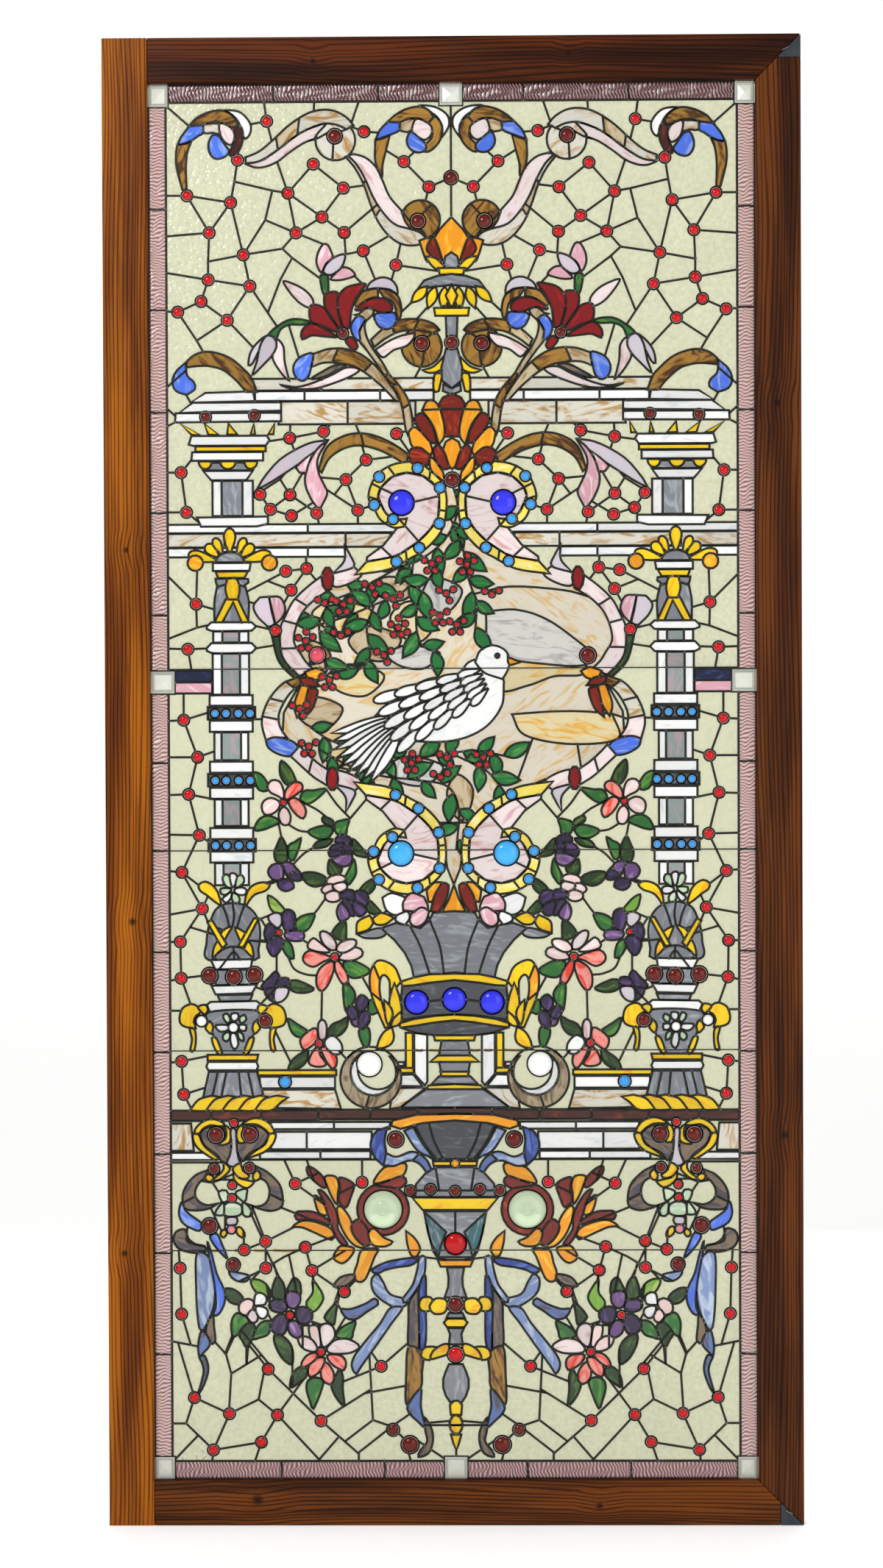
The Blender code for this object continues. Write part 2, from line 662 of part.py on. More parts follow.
def build_jewel(name, x, z, radius, material, collection):
    """A pressed jewel: a turned dome on a straight rim, flat behind."""
    middle = place(x, z)
    rise = min(JEWEL_RISE, radius * 0.75)
    profile = [(0.0, rise), (radius * 0.6, JEWEL_RIM + (rise - JEWEL_RIM) * 0.75),
               (radius, JEWEL_RIM), (radius, -SHEET_THICKNESS), (0.0, -SHEET_THICKNESS)]
    mesh = bpy.data.meshes.new(name)
    mesh.from_pydata([(r, 0.0, h) for r, h in profile], [(k, k + 1) for k in range(len(profile) - 1)], [])
    jewel = add_mesh(name, mesh, material, collection)
    screw = jewel.modifiers.new("turn", "SCREW")
    screw.steps = JEWEL_SIDES
    screw.render_steps = JEWEL_SIDES
    screw.use_merge_vertices = True
    screw.merge_threshold = MERGE_DISTANCE
    jewel.location = (middle.x, SHEET_FRONT, middle.y)
    jewel.rotation_euler = (math.pi / 2, math.pi / JEWEL_SIDES, 0.0)
    return jewel


def build_block(name, left, right, foot, head, material, collection):
    """A square border block with a bevelled front."""
    bm = bmesh.new()
    bmesh.ops.create_cube(bm, size=1.0)
    front = SHEET_FRONT - BLOCK_RISE
    back = SHEET_BACK
    bmesh.ops.scale(bm, vec=(right - left, back - front, head - foot), verts=bm.verts)
    front_edges = [edge for edge in bm.edges if all(v.co.y < 0 for v in edge.verts)]
    bmesh.ops.bevel(bm, geom=front_edges, offset=BLOCK_BEVEL, segments=1, affect="EDGES", profile=0.5)
    block = add_mesh(name, mesh_from(name, bm), material, collection)
    block.location = ((left + right) / 2, (front + back) / 2, (foot + head) / 2)
    return block


def build_saddle_bars(materials, parts):
    """A round steel bar lies across the back of the panel at each seam."""
    for number, z in enumerate(SEAMS, start=1):
        bm = bmesh.new()
        bmesh.ops.create_cone(bm, cap_ends=True, segments=10, radius1=SADDLE_BAR_RADIUS,
                              radius2=SADDLE_BAR_RADIUS, depth=2 * (SIGHT_HALF - FIT_GAP))
        name = "saddle_bar_%d" % number
        bar = add_mesh(name, mesh_from(name, bm), materials["steel"], parts)
        bar.rotation_euler = (0.0, math.pi / 2, 0.0)
        bar.location = (0.0, BEHIND_PANEL + SADDLE_BAR_RADIUS, place(0, z).y)


def main():
    clear_scene()
    parts = new_collection("stained_glass_window")
    cutters = new_collection("cutters")
    materials = {name: make_material(name) for name in MATERIALS}
    build_frame(materials, parts, cutters)
    build_nails(materials, parts)
    build_beads(materials, parts)
    build_panel(materials, parts)
    for name, x, z, radius, colour in all_jewels():
        build_jewel(name, x, z, radius, materials[colour], parts)
    for name, left, right, foot, head in all_blocks():
        build_block(name, left, right, foot, head, materials["clear"], parts)
    build_saddle_bars(materials, parts)


main()
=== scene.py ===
"""Looks of the leaded stained glass window: every pane, came and jewel, the pine frame and the studio."""

import math
import random

import bpy
import numpy as np
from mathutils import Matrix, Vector
from mathutils.geometry import delaunay_2d_cdt, intersect_line_line_2d


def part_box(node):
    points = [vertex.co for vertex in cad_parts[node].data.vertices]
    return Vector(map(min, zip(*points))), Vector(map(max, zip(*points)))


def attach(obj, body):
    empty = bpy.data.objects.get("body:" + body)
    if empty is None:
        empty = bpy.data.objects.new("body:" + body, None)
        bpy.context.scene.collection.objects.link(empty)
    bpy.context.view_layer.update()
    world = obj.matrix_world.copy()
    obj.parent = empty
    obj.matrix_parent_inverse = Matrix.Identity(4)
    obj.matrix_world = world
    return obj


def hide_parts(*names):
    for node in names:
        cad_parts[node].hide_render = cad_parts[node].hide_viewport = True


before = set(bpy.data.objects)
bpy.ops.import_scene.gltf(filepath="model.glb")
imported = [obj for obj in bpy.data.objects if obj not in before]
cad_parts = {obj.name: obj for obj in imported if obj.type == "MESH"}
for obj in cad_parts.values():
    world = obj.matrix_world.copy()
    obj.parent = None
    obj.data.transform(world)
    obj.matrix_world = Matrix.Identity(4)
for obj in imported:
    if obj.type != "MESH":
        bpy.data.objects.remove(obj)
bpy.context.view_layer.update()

MM = 0.001
SECTIONS = ("foot", "lower", "middle", "medallion", "top")
SEAMS = (422, 730, 1038, 1317)

# The two faces of the glass, taken from the CAD, in millimetres
SHEET_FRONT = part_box("glass_top")[0].y / MM
SHEET_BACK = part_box("glass_top")[1].y / MM

# Widths of the cames, and how far they stand out of the glass, in millimetres
CAME = 3.5
THIN_CAME = 2.6
SEAM_CAME = 1.8
SEAT_CAME = 1.3
CAME_RISE = 1.5
CAME_BACK = 1.2
SOLDER_RISE = 0.35

# How finely curves are drawn, and how near two points may be before they are one
CURVE_STEP = 5.0
FLATNESS = 0.15
MERGED = 0.02
TOUCHING = 0.5

# How far a loose end of came looks for the next one, and the shortest piece kept without one
LOOSE_REACH = 30.0
SCRAP = 25.0

# Jewels: radius above which one is large or has a rim, its bright seat, and its foot on the glass
LARGE = 16.0
SMALL = 6.0
SEAT = 1.5
JEWEL_FOOT = 0.3
# How bright the lead seat ring round each jewel is drawn
SEAT_RING_TONE = 2.0

# Pressed blocks as inset and depth, ripples of the strips
BLOCK_LEVELS = ((0.0, SHEET_BACK), (0.0, SHEET_FRONT - 0.6),
                (3.0, SHEET_FRONT - 3.6), (5.5, SHEET_FRONT - 1.0))
BLOCK_RISE = 3.8
RIPPLE_LENGTH = 5.2
RIPPLE_RISE = 1.3

# Cracks and brown seam marks: width of a crack and of a seam mark, their section, and their places
CRACK = 0.8
SEAM_MARK_WIDTH = 4.2
FILM = ((-0.5, -0.02), (-0.4, -0.18), (0.4, -0.18), (0.5, -0.02))
CRACKS = (
    ((-385, 104), (-390, 101), (-393, 94)), ((-401, 106), (-399, 100), (-397, 94)),
    ((-422, 103), (-420, 94)), ((-393, 114), (-388, 109)),
)
SEAM_SPANS = (
    (SEAMS[1], ((-114, -75), (-60, -48), (-38, -19), (24, 39), (46, 58), (76, 112))),
    (SEAMS[0], ((-381, -361), (-340, -315), (-310, -291), (-280, -242))),
)

# Scale of the wisps in the glass along three axes, of its hammer marks and of its waves
WISPS = (20, 20, 75)
HAMMER_MARKS = 150
WAVES = 40

# Growth lines of the pine: how close, how far they swing and drift, and how knots bend them
LINES = 1000.0
LINE_SWING = 60.0
LINE_DRIFT = 16.0
KNOT_SWING = 7.0
KNOT = "140602"

# Studio, in metres: half width of the floor, the wall behind it and the curve between them
ROOM = 16.0
WALL = 18.0
SWEEP = 3.0
AIM = (0, 0, 1.1)
WHITE = (1.0, 1.0, 1.0, 1.0)
LIGHTS = (
    ("key", (-1.9, -3.6, 3.3), 1.2, 72),
    ("fill", (2.8, -4.0, 1.8), 3.0, 44),
    ("back", (0, 2.6, 2.0), 3.0, 60),
)

# Members of the frame: name, whether upright, colours, seed, knots as place and radius, and solids
PINE = (
    ("left", True, ("3A1602", "703806", "A25C0E"), 1.7,
     (((-0.500, 1.50), 0.006), ((-0.493, 0.93), 0.008), ((-0.508, 0.42), 0.007)), ("stile_left",)),
    ("right", True, ("1C0A02", "3E1C07", "643410"), 4.1,
     (((0.497, 1.72), 0.007), ((0.505, 0.60), 0.008)), ("stile_right",)),
    ("top", False, ("190701", "361503", "5A2708"), 7.3,
     (((-0.21, 2.245), 0.006), ((0.18, 2.255), 0.005)), ("rail_top",)),
    ("bottom", False, ("1E0B01", "442006", "6E380C"), 9.9,
     (((-0.305, 0.040), 0.011), ((0.22, 0.030), 0.007)), ("rail_bottom",)),
    ("beads", True, ("4A2A12", "8A5A2C", "B48048"), 3.3,
     (), ("bead_left", "bead_right", "bead_top", "bead_bottom")),
)

# Colours of the rippled strips: painted shade in the hollows, their own colour on the slopes, painted
# highlight on the crests
RIPPLES = {
    "ripple_dark": ("34141A", "5E3234", "BC9C98"),
    "ripple_mid": ("5A3034", "9A6C6E", "D8BCB8"),
    "ripple_pink": ("7E5252", "CBA6A0", "E6CEC8"),
}

# Main colour, streak colour and how much of it there is, for each kind of sheet glass
GLASS = {
    "field": ("D6D7B8", "CED0B0", 0.20),
    "sky": ("DAD2C0", "D6B068", 0.38),
    "opal": ("D9D6C8", "B58E52", 0.42),
    "pale_amber": ("DED0A4", "E2AE4A", 0.42),
    "grey_sky": ("CFCDC6", "A9A7A4", 0.45),
    "leaf_green": ("1F7234", "5FA052", 0.25),
    "white": ("F4F4F2", "D6DEE2", 0.25),
    "yellow": ("F6D00C", "F2A80A", 0.35),
    "pale_yellow": ("F5DF5A", "F4ECB4", 0.40),
    "amber": ("EE9A12", "F7BE34", 0.40),
    "red_brown": ("761604", "A83610", 0.30),
    "ruby": ("84060C", "B0120E", 0.25),
    "green": ("2A6A2C", "5C9038", 0.45),
    "dark_green": ("233C1A", "4C6C2A", 0.40),
    "light_green": ("76A83A", "B6CC6A", 0.45),
    "pale_green": ("BFD8B4", "E8F0D8", 0.45),
    "brown": ("A67A2E", "4E2C0C", 0.50),
    "dark_brown": ("3E1408", "6A2A10", 0.30),
    "brown_grey": ("7E6C58", "4A4650", 0.50),
    "tan": ("C6B594", "98763E", 0.42),
    "grey": ("7E8188", "9FA6AA", 0.40),
    "dark_grey": ("46484E", "66706E", 0.35),
    "umber": ("A8977A", "6E5A3C", 0.45),
    "shaft_grey": ("8C9A98", "B09A9E", 0.50),
    "blush": ("EDCFCB", "F6ECEA", 0.40),
    "pink": ("DDA6B2", "F0DCE0", 0.45),
    "pink_white": ("EBDDDB", "D6AAA8", 0.35),
    "salmon": ("F0968A", "E63E2A", 0.45),
    "lilac": ("CCC6CE", "D8C2D0", 0.45),
    "purple": ("2C2244", "5A3E74", 0.40),
    "mauve": ("6A4A7E", "A686B2", 0.40),
    "navy": ("141C3A", "2C4070", 0.35),
    "blue": ("4C74E4", "8EA8E8", 0.40),
    "pale_blue": ("7C92C0", "BCC8DC", 0.45),
    "blue_dark": ("2C4290", "5878C8", 0.40),
    "steel_blue": ("5C76B0", "5A4E50", 0.45),
    "teal": ("2E6468", "8A94A0", 0.45),
}

# Colour of each kind of jewel at its rim, painted deeper as shade, and in its middle, painted brighter as
# light; how much light passes it, and its slot in the record
JEWEL_COLOURS = {
    "ruby": ("4A0104", "C8020C", 0.03, "red_glass"),
    "ruby_large": ("5A0206", "C2040C", 0.05, "red_glass"),
    "cobalt": ("1410A0", "3438F0", 0.10, "cobalt_glass"),
    "sky": ("145A9C", "3CA0EC", 0.10, "sky_glass"),
    "sky_large": ("1874B8", "48B8F8", 0.15, "sky_glass"),
    "white": ("DADAD4", "FAFAF8", 0.10, "white_glass"),
    "rondel": ("6E8A60", "D2E2C2", 0.35, "clear_glass"),
    "brown_jewel": ("120200", "641002", 0.03, None),
    "amber": ("A85A08", "F0A020", 0.20, None),
    "pink": ("B04A60", "F08C9C", 0.20, None),
    "rose_jewel": ("8C1020", "E05468", 0.15, None),
}

# Solids of the CAD that each kind of large jewel stands for
LARGE_JEWELS = {
    "cobalt": ("jewel_cobalt_left", "jewel_cobalt_right", "jewel_urn_centre", "jewel_urn_side_left",
               "jewel_urn_side_right"),
    "sky_large": ("jewel_sky_left", "jewel_sky_right"), "white": ("jewel_white_left", "jewel_white_right"),
    "rondel": ("rondel_clear_left", "rondel_clear_right"), "ruby_large": ("jewel_red_centre",),
}

# Share of the radius and of the rise at each ring of a turned rondel
TURNED = ((1.0, 0.0), (0.97, 0.32), (0.88, 0.5), (0.62, 0.56), (0.40, 0.58), (0.34, 0.86),
          (0.28, 0.58), (0.22, 0.60), (0.17, 0.90), (0.11, 0.62), (0.06, 0.8))

BLOCKS = ("block_top_left", "block_top_centre", "block_top_right", "block_side_left", "block_side_right",
          "block_bottom_left", "block_bottom_centre", "block_bottom_right")


def between(a, b, c, d, t):
    """A place on the curve from b to c; a and d are the knots beyond them."""
    return 0.5 * (2 * b + (c - a) * t + (2 * a - 5 * b + 4 * c - d) * t * t
                  + (3 * b - a - 3 * c + d) * t ** 3)


def smooth(points):
    """A curve through the points, in short steps; two points give a straight line."""
    if len(points) < 3:
        return [Vector(p) for p in points]
    knots = [Vector(p) for p in points]
    knots = [2 * knots[0] - knots[1]] + knots + [2 * knots[-1] - knots[-2]]
    curve = [knots[1]]
    for a, b, c, d in zip(knots, knots[1:], knots[2:], knots[3:]):
        steps = max(2, min(9, round((c - b).length / CURVE_STEP)))
        curve += [between(a, b, c, d, k / steps) for k in range(1, steps + 1)]
    return curve


def placed(x, z, across, down):
    """A function that turns points of an enlarged study of the photo into places on the window."""
    def at(*points):
        """The places of some points of the study."""
        return [Vector((x + p[0] * across, z - p[1] * down)) for p in points]
    return at


def along(curve, share):
    """The index of the point that lies a share of the way along a curve."""
    reach = [0.0]
    for a, b in zip(curve, curve[1:]):
        reach.append(reach[-1] + (b - a).length)
    wanted = share * reach[-1]
    return min(range(len(curve)), key=lambda k: abs(reach[k] - wanted))


def joined(sides):
    """An outline from sides that meet at corners; each side starts where the last one ended."""
    outline = []
    pen = []
    for number, side in enumerate(sides):
        run = pen + list(side)
        if number == len(sides) - 1:
            run.append(sides[0][0])
        outline += smooth(run)[:-1]
        pen = [run[-1]]
    return outline


def arc(x, z, across, up, start, end, steps=10):
    """Points of an oval arc between two angles in degrees."""
    turns = [math.radians(start + (end - start) * k / steps) for k in range(steps + 1)]
    return [Vector((x + across * math.cos(t), z + up * math.sin(t))) for t in turns]


class Drawing:
    """Panes, cames and jewels in the order in which they cover each other, in millimetres."""

    def __init__(self):
        """An empty drawing; sides holds 1 for a shape as given and -1 for its mirror image."""
        self.panes = []
        self.cames = []
        self.jewels = []
        self.sides = (1, -1)
        self.order = 0

    def next_order(self):
        """The rank of what is drawn next, which lies above what came before."""
        self.order += 1
        return self.order

    def outline(self, kind, points):
        """A pane of one kind of glass, and its mirror image."""
        order = self.next_order()
        for side in self.sides:
            self.panes.append((order, kind, [Vector((p[0] * side, p[1])) for p in points]))

    def pane(self, kind, *sides):
        """A pane whose curved sides meet at corners."""
        self.outline(kind, joined(sides))

    def patch(self, kind, points):
        """A pane with a rounded outline through the points."""
        ring = [Vector(p) for p in points]
        n = len(ring)
        curve = []
        for k in range(n):
            a, b, c, d = (ring[(k + j) % n] for j in (-1, 0, 1, 2))
            steps = max(2, min(6, round((c - b).length / CURVE_STEP)))
            curve += [between(a, b, c, d, i / steps) for i in range(steps)]
        self.outline(kind, curve)

    def patches(self, at, *rows):
        """Rounded panes, each given as its kind and the points of its outline."""
        for kind, *points in rows:
            self.patch(kind, at(*points))

    def poly(self, kind, *points):
        """A pane with straight sides."""
        self.outline(kind, [Vector(p) for p in points])

    def across(self, kind, *points):
        """A pane over the centre line, from the points of its left half."""
        half = [Vector(p) for p in points]
        other = [Vector((-p.x, p.y)) for p in reversed(half) if p.x < 0]
        self.panes.append((self.next_order(), kind, half + other))

    def block(self, kind, left, right, low, high):
        """A square or oblong pane."""
        self.poly(kind, (left, low), (right, low), (right, high), (left, high))

    def row(self, kinds, cuts, low, high):
        """A course of blocks between the cuts; the kinds repeat along it."""
        for number, (left, right) in enumerate(zip(cuts, cuts[1:])):
            kind = kinds if isinstance(kinds, str) else kinds[number % len(kinds)]
            self.block(kind, left, right, low, high)

    def came(self, *points, width=CAME, curved=True):
        """A came through the points, and its mirror image."""
        order = self.next_order()
        run = smooth(points) if curved else [Vector(p) for p in points]
        for side in self.sides:
            self.cames.append((order, [Vector((p.x * side, p.y)) for p in run], width))

    def links(self, *runs):
        """Straight cames, each through its own points."""
        for run in runs:
            self.came(*run, curved=False)

    def curves(self, at, *runs):
        """Curved cames, each through its own points of a study."""
        for run in runs:
            self.came(*at(*run))

    def band(self, kinds, left, right, cuts=()):
        """A ribbon between two curves, cut across at shares of its length."""
        one = smooth(left)
        two = smooth(right)
        shares = [0.0, *cuts, 1.0]
        for number, (a, b) in enumerate(zip(shares, shares[1:])):
            kind = kinds if isinstance(kinds, str) else kinds[number % len(kinds)]
            near = one[along(one, a):along(one, b) + 1]
            far = two[along(two, a):along(two, b) + 1]
            self.outline(kind, near + far[::-1])

    def disc(self, kind, x, z, across, up=None):
        """A round pane, or an oval one where up is given."""
        up = across if up is None else up
        sides = max(10, min(26, round(across * 1.1)))
        self.outline(kind, arc(x, z, across, up, 0, 360 * (sides - 1) / sides, sides - 1))

    def leaf(self, kinds, base, tip, width, bend=0.0):
        """A pointed leaf from base to tip; with two kinds it is halved along its rib."""
        base = Vector(base)
        tip = Vector(tip)
        run = tip - base
        side = Vector((-run.y, run.x)).normalized()
        spine = [base + run * t + side * bend * math.sin(math.pi * t) for t in (0, 0.25, 0.5, 0.75, 1)]
        swell = (0, 0.8, 1.0, 0.68, 0)
        one = [p + side * width / 2 * s for p, s in zip(spine, swell)]
        two = [p - side * width / 2 * s for p, s in zip(spine, swell)]
        if isinstance(kinds, str):
            self.outline(kinds, smooth(one)[:-1] + smooth(two[::-1])[:-1])
        else:
            self.outline(kinds[0], smooth(one)[:-1] + smooth(spine[::-1])[:-1])
            self.outline(kinds[1], smooth(spine)[:-1] + smooth(two[::-1])[:-1])

    def petal(self, kind, base, tip, width):
        """A petal with a round end."""
        base = Vector(base)
        tip = Vector(tip)
        run = tip - base
        side = Vector((-run.y, run.x)).normalized() * width / 2
        one = [base + run * t + side * s for t, s in ((0.0, 0.15), (0.35, 0.7), (0.7, 1.0), (0.93, 0.62))]
        two = [base + run * t - side * s for t, s in ((0.93, 0.62), (0.7, 1.0), (0.35, 0.7), (0.0, 0.15))]
        self.outline(kind, smooth(one + [tip] + two))

    def jewel(self, kind, radius, *places):
        """Round jewels; one on the centre line has no mirror image."""
        for x, z in places:
            for side in self.sides if x else (1,):
                self.jewels.append((x * side, z, radius, kind))


def draw_border(d):
    """Rippled strips with pressed blocks at the corners and the middles."""
    d.across("field", (0, 2185), (-437, 2185), (-437, 97), (0, 97))
    d.row("ripple_dark", (-433, -272, -111, -18), 2185, 2213)
    d.row("ripple_mid", (-433, -269, -110, -18), 69, 97)
    strip = (104, 262, 418, 571, 728, 882, 1038, 1173, 1279)
    strip_above = (1315, 1400, 1557, 1711, 1868, 2022, 2178)
    for cuts in (strip, strip_above):
        for low, high in zip(cuts, cuts[1:]):
            d.block("ripple_pink", -464.5, -437, low, high)
    for low, high in ((69, 104), (2178, 2213)):
        d.block("seat", -464.5, -433, low, high)
        d.across("seat", (0, low), (-18, low), (-18, high), (0, high))
    d.block("seat", -464.5, -427, 1279, 1315)
    d.block("navy", -427, -370, 1297, 1315)
    d.block("pink", -427, -370, 1280, 1297)


def draw_field(d):
    """Straight cames across the ground, and the small red jewels at their meetings."""
    d.links(((0, 2177), (0, 1990)), ((-436, 2180), (-403, 2151)),
            ((-286, 2185), (-282, 2156), (-305, 2152)), ((-282, 2156), (-275, 2128)),
            ((-209, 2185), (-210, 2168)), ((-141, 2185), (-150, 2159)), ((-133, 2139), (-118, 2138)),
            ((-155, 2148), (-133, 2139)), ((-327, 2097), (-332, 2064), (-338, 2032)),
            ((-332, 2064), (-274, 2050), (-250, 2046)), ((-266, 2093), (-250, 2046), (-211, 2090)),
            ((-274, 2050), (-285, 2005), (-319, 1952)), ((-285, 2005), (-238, 1985)),
            ((-437, 2043), (-405, 2043), (-338, 2032), (-371, 1986), (-405, 2043)),
            ((-338, 2032), (-319, 1952), (-373, 1942), (-371, 1986), (-437, 1981)),
            ((-373, 1942), (-373, 1914), (-309, 1904), (-319, 1952), (-259, 1961), (-238, 1985)),
            ((-259, 1961), (-244, 1947), (-201, 1915)), ((-244, 1947), (-262, 1914), (-281, 1865)),
            ((-437, 1925), (-373, 1914), (-384, 1881), (-420, 1865), (-437, 1866)),
            ((-384, 1881), (-344, 1852), (-309, 1904), (-271, 1847)),
            ((-420, 1865), (-391, 1821), (-380, 1802)), ((-391, 1821), (-344, 1852), (-309, 1815)),
            ((-250, 2046), (-198, 2009), (-238, 1985), (-250, 2046)),
            ((-211, 2090), (-165, 2053), (-133, 2057)),
            ((-165, 2053), (-198, 2009), (-164, 1985), (-121, 2021)),
            ((-164, 1985), (-162, 1952), (-135, 1957)), ((-238, 1985), (-197, 1968)),
            ((-95, 1980), (-135, 1957), (-118, 1916)), ((-162, 1952), (-190, 1945)),
            ((-78, 1966), (-85, 1935), (-91, 1915)), ((-85, 1935), (-18, 1925)),
            ((-96, 2108), (-72, 2093), (-60, 2104)), ((-72, 2093), (-34, 2054), (0, 2068)),
            ((-34, 2054), (-40, 2030)), ((-150, 2105), (-117, 2085)), ((-145, 1915), (-135, 1905)),
            ((-62, 1877), (-78, 1862)), ((-40, 1867), (-50, 1856)), ((-245, 1829), (-238, 1806)))
    d.jewel("ruby", 9, (-282, 2156), (-133, 2139), (-327, 2097), (-211, 2090), (-250, 2046), (-165, 2053),
            (-405, 2043), (-338, 2032), (-371, 1986), (-198, 2009), (-238, 1985), (-164, 1985),
            (-319, 1952), (-135, 1957), (-85, 1935), (-373, 1914), (-309, 1904), (-384, 1881), (-420, 1865),
            (-344, 1852), (-72, 2093), (-34, 2054))


def draw_crest(d):
    """Curled leaves and long S-scrolls under the top border."""
    at = placed(-431.2, 2194.6, 0.3194, 0.3225)
    d.patches(
        at,
        ("white", (262, 66), (330, 72), (372, 105), (392, 145), (385, 182), (364, 202), (350, 178),
         (340, 140), (322, 108), (290, 80)),
        ("dark_brown", (296, 168), (330, 142), (348, 152), (354, 190), (346, 232), (322, 276), (300, 288),
         (286, 270), (303, 232), (311, 198)),
        ("white", (1198, 52), (1270, 56), (1328, 90), (1343, 132), (1328, 172), (1292, 214), (1296, 170),
         (1300, 130), (1270, 92)),
        ("brown", (1240, 135), (1268, 100), (1300, 128), (1310, 165), (1298, 215), (1262, 258), (1228, 270),
         (1226, 236), (1252, 212), (1262, 180)))
    d.pane("brown", at((60, 440), (34, 340), (30, 275), (38, 228)), at((75, 224), (108, 208)),
           at((86, 262), (78, 340), (80, 438)))
    d.pane("blue", at((38, 228), (60, 185), (95, 142)), at((125, 132), (160, 134)),
           at((163, 172), (140, 186), (108, 208), (70, 224)))
    d.pane("brown", at((90, 142), (130, 102), (190, 74), (250, 66), (300, 88), (326, 122)),
           at((322, 142), (296, 146)), at((250, 126), (205, 122), (160, 134)))
    d.pane("opal", at((163, 132), (200, 128), (236, 128)), at((244, 152), (238, 180)),
           at((205, 172), (166, 174)))
    d.patch(
        "pink_white",
        at((240, 130), (280, 138), (308, 165), (312, 200), (298, 230), (272, 222), (246, 188)))
    d.patch(
        "blue",
        at((208, 182), (188, 220), (190, 262), (215, 294), (255, 292), (286, 264), (266, 230), (238, 190)))
    d.pane("brown", at((1005, 385), (986, 300), (988, 212)), at((1020, 206), (1058, 190)),
           at((1040, 260), (1022, 330), (1020, 385)))
    d.pane("blue", at((988, 212), (1010, 165), (1048, 126)), at((1080, 118), (1108, 130)),
           at((1104, 166), (1058, 188)))
    d.pane("brown", at((1045, 126), (1090, 90), (1140, 65), (1200, 55), (1244, 72), (1268, 104)),
           at((1240, 135)), at((1200, 112), (1150, 112), (1108, 128)))
    d.pane("tan", at((1108, 128), (1150, 112), (1182, 114)), at((1180, 148), (1146, 176)), at((1106, 166)))
    d.patch(
        "pink_white",
        at((1182, 114), (1228, 126), (1258, 152), (1256, 188), (1230, 212), (1200, 204), (1164, 172)))
    d.patch(
        "blue",
        at((1152, 178), (1138, 215), (1150, 250), (1185, 272), (1226, 264), (1230, 232), (1202, 206),
           (1168, 178)))
    upper = ((364, 290), (430, 262), (500, 206), (570, 142), (650, 90), (720, 68), (790, 72), (850, 104),
             (884, 142))
    middle = ((366, 318), (405, 315), (450, 300), (520, 255), (590, 202), (650, 165), (735, 134),
              (800, 138), (850, 160))
    lower = ((366, 322), (410, 338), (460, 335), (520, 310), (570, 272), (640, 226), (696, 204))
    d.disc("opal", -177, 2126, 30.5)
    d.band(("opal", "tan", "opal"), at(*upper), at(*middle), (0.3, 0.52))
    d.pane("pink_white", at(*lower), at((710, 180), (750, 138)), at(*middle[:-2])[::-1])
    d.links(at((850, 160), (884, 142)), at((824, 170), (850, 160)), at((786, 230), (782, 306)))
    d.came(*at((752, 180), (716, 200), (698, 206)))
    left = ((845, 290), (890, 345), (930, 420), (965, 520), (1000, 600), (1050, 665), (1110, 705),
            (1180, 712), (1240, 690))
    inner = ((860, 288), (900, 330), (940, 400), (975, 480), (1020, 552), (1080, 612), (1160, 636),
             (1205, 655), (1238, 690))
    d.disc("brown", -47, 2004, 30)
    d.band(("opal", "tan", "opal"), at(*left), at(*inner), (0.25, 0.5))
    d.pane("pink_white", at(*inner[:-2]), at((1130, 600), (1110, 545)),
           at((1055, 480), (1020, 400), (990, 340), (940, 295), (880, 278)))
    d.links(at((1215, 560), (1258, 515)), at((1205, 635), (1240, 690)), at((1150, 596), (1112, 545)))
    d.jewel("brown_jewel", 12, (-178, 2132.5), (-51, 2002))


def draw_finial(d):
    """Flame petals, crown and dome on the centre line."""
    d.across("amber", (0, 2008), (-17, 1990), (-29, 1972), (-18, 1942), (0, 1940))
    d.pane("red_brown", [(-29, 1980), (-22, 1968), (-14, 1944)], [(-24, 1938), (-36, 1950)], [(-44, 1968)])
    d.pane("amber", [(-31, 1976), (-38, 1960), (-31, 1948)], [(-37, 1940), (-42, 1950), (-49, 1972)],
           [(-38, 1976)])
    d.across("grey", (0, 1954), (-9, 1948), (-14, 1928), (0, 1926))
    d.pane("yellow", [(-40, 1948), (-24, 1945), (-8, 1930)], [(-22, 1928), (-32, 1936)])
    d.across("yellow", (0, 1930), (-20, 1930), (-18, 1920), (0, 1920))
    d.across("grey", (0, 1921), (-22, 1918), (-42, 1911), (-54, 1896), (-30, 1901), (0, 1904))
    for foot, reach in ((-56, 1877), (-36, 1868), (-13, 1866)):
        d.leaf("yellow", (foot * 0.62 - 2, 1902), (foot - 6 if foot < -40 else foot, reach), 15)
    d.across("yellow", (0, 1905), (-9, 1888), (0, 1867))
    d.across("grey", (0, 1872), (-16, 1872), (-20, 1866), (0, 1866))
    d.across("yellow", (0, 1869), (-27, 1869), (-25, 1857), (0, 1857))
    d.across("grey", (0, 1857), (-9, 1857), (-8, 1826), (0, 1826))


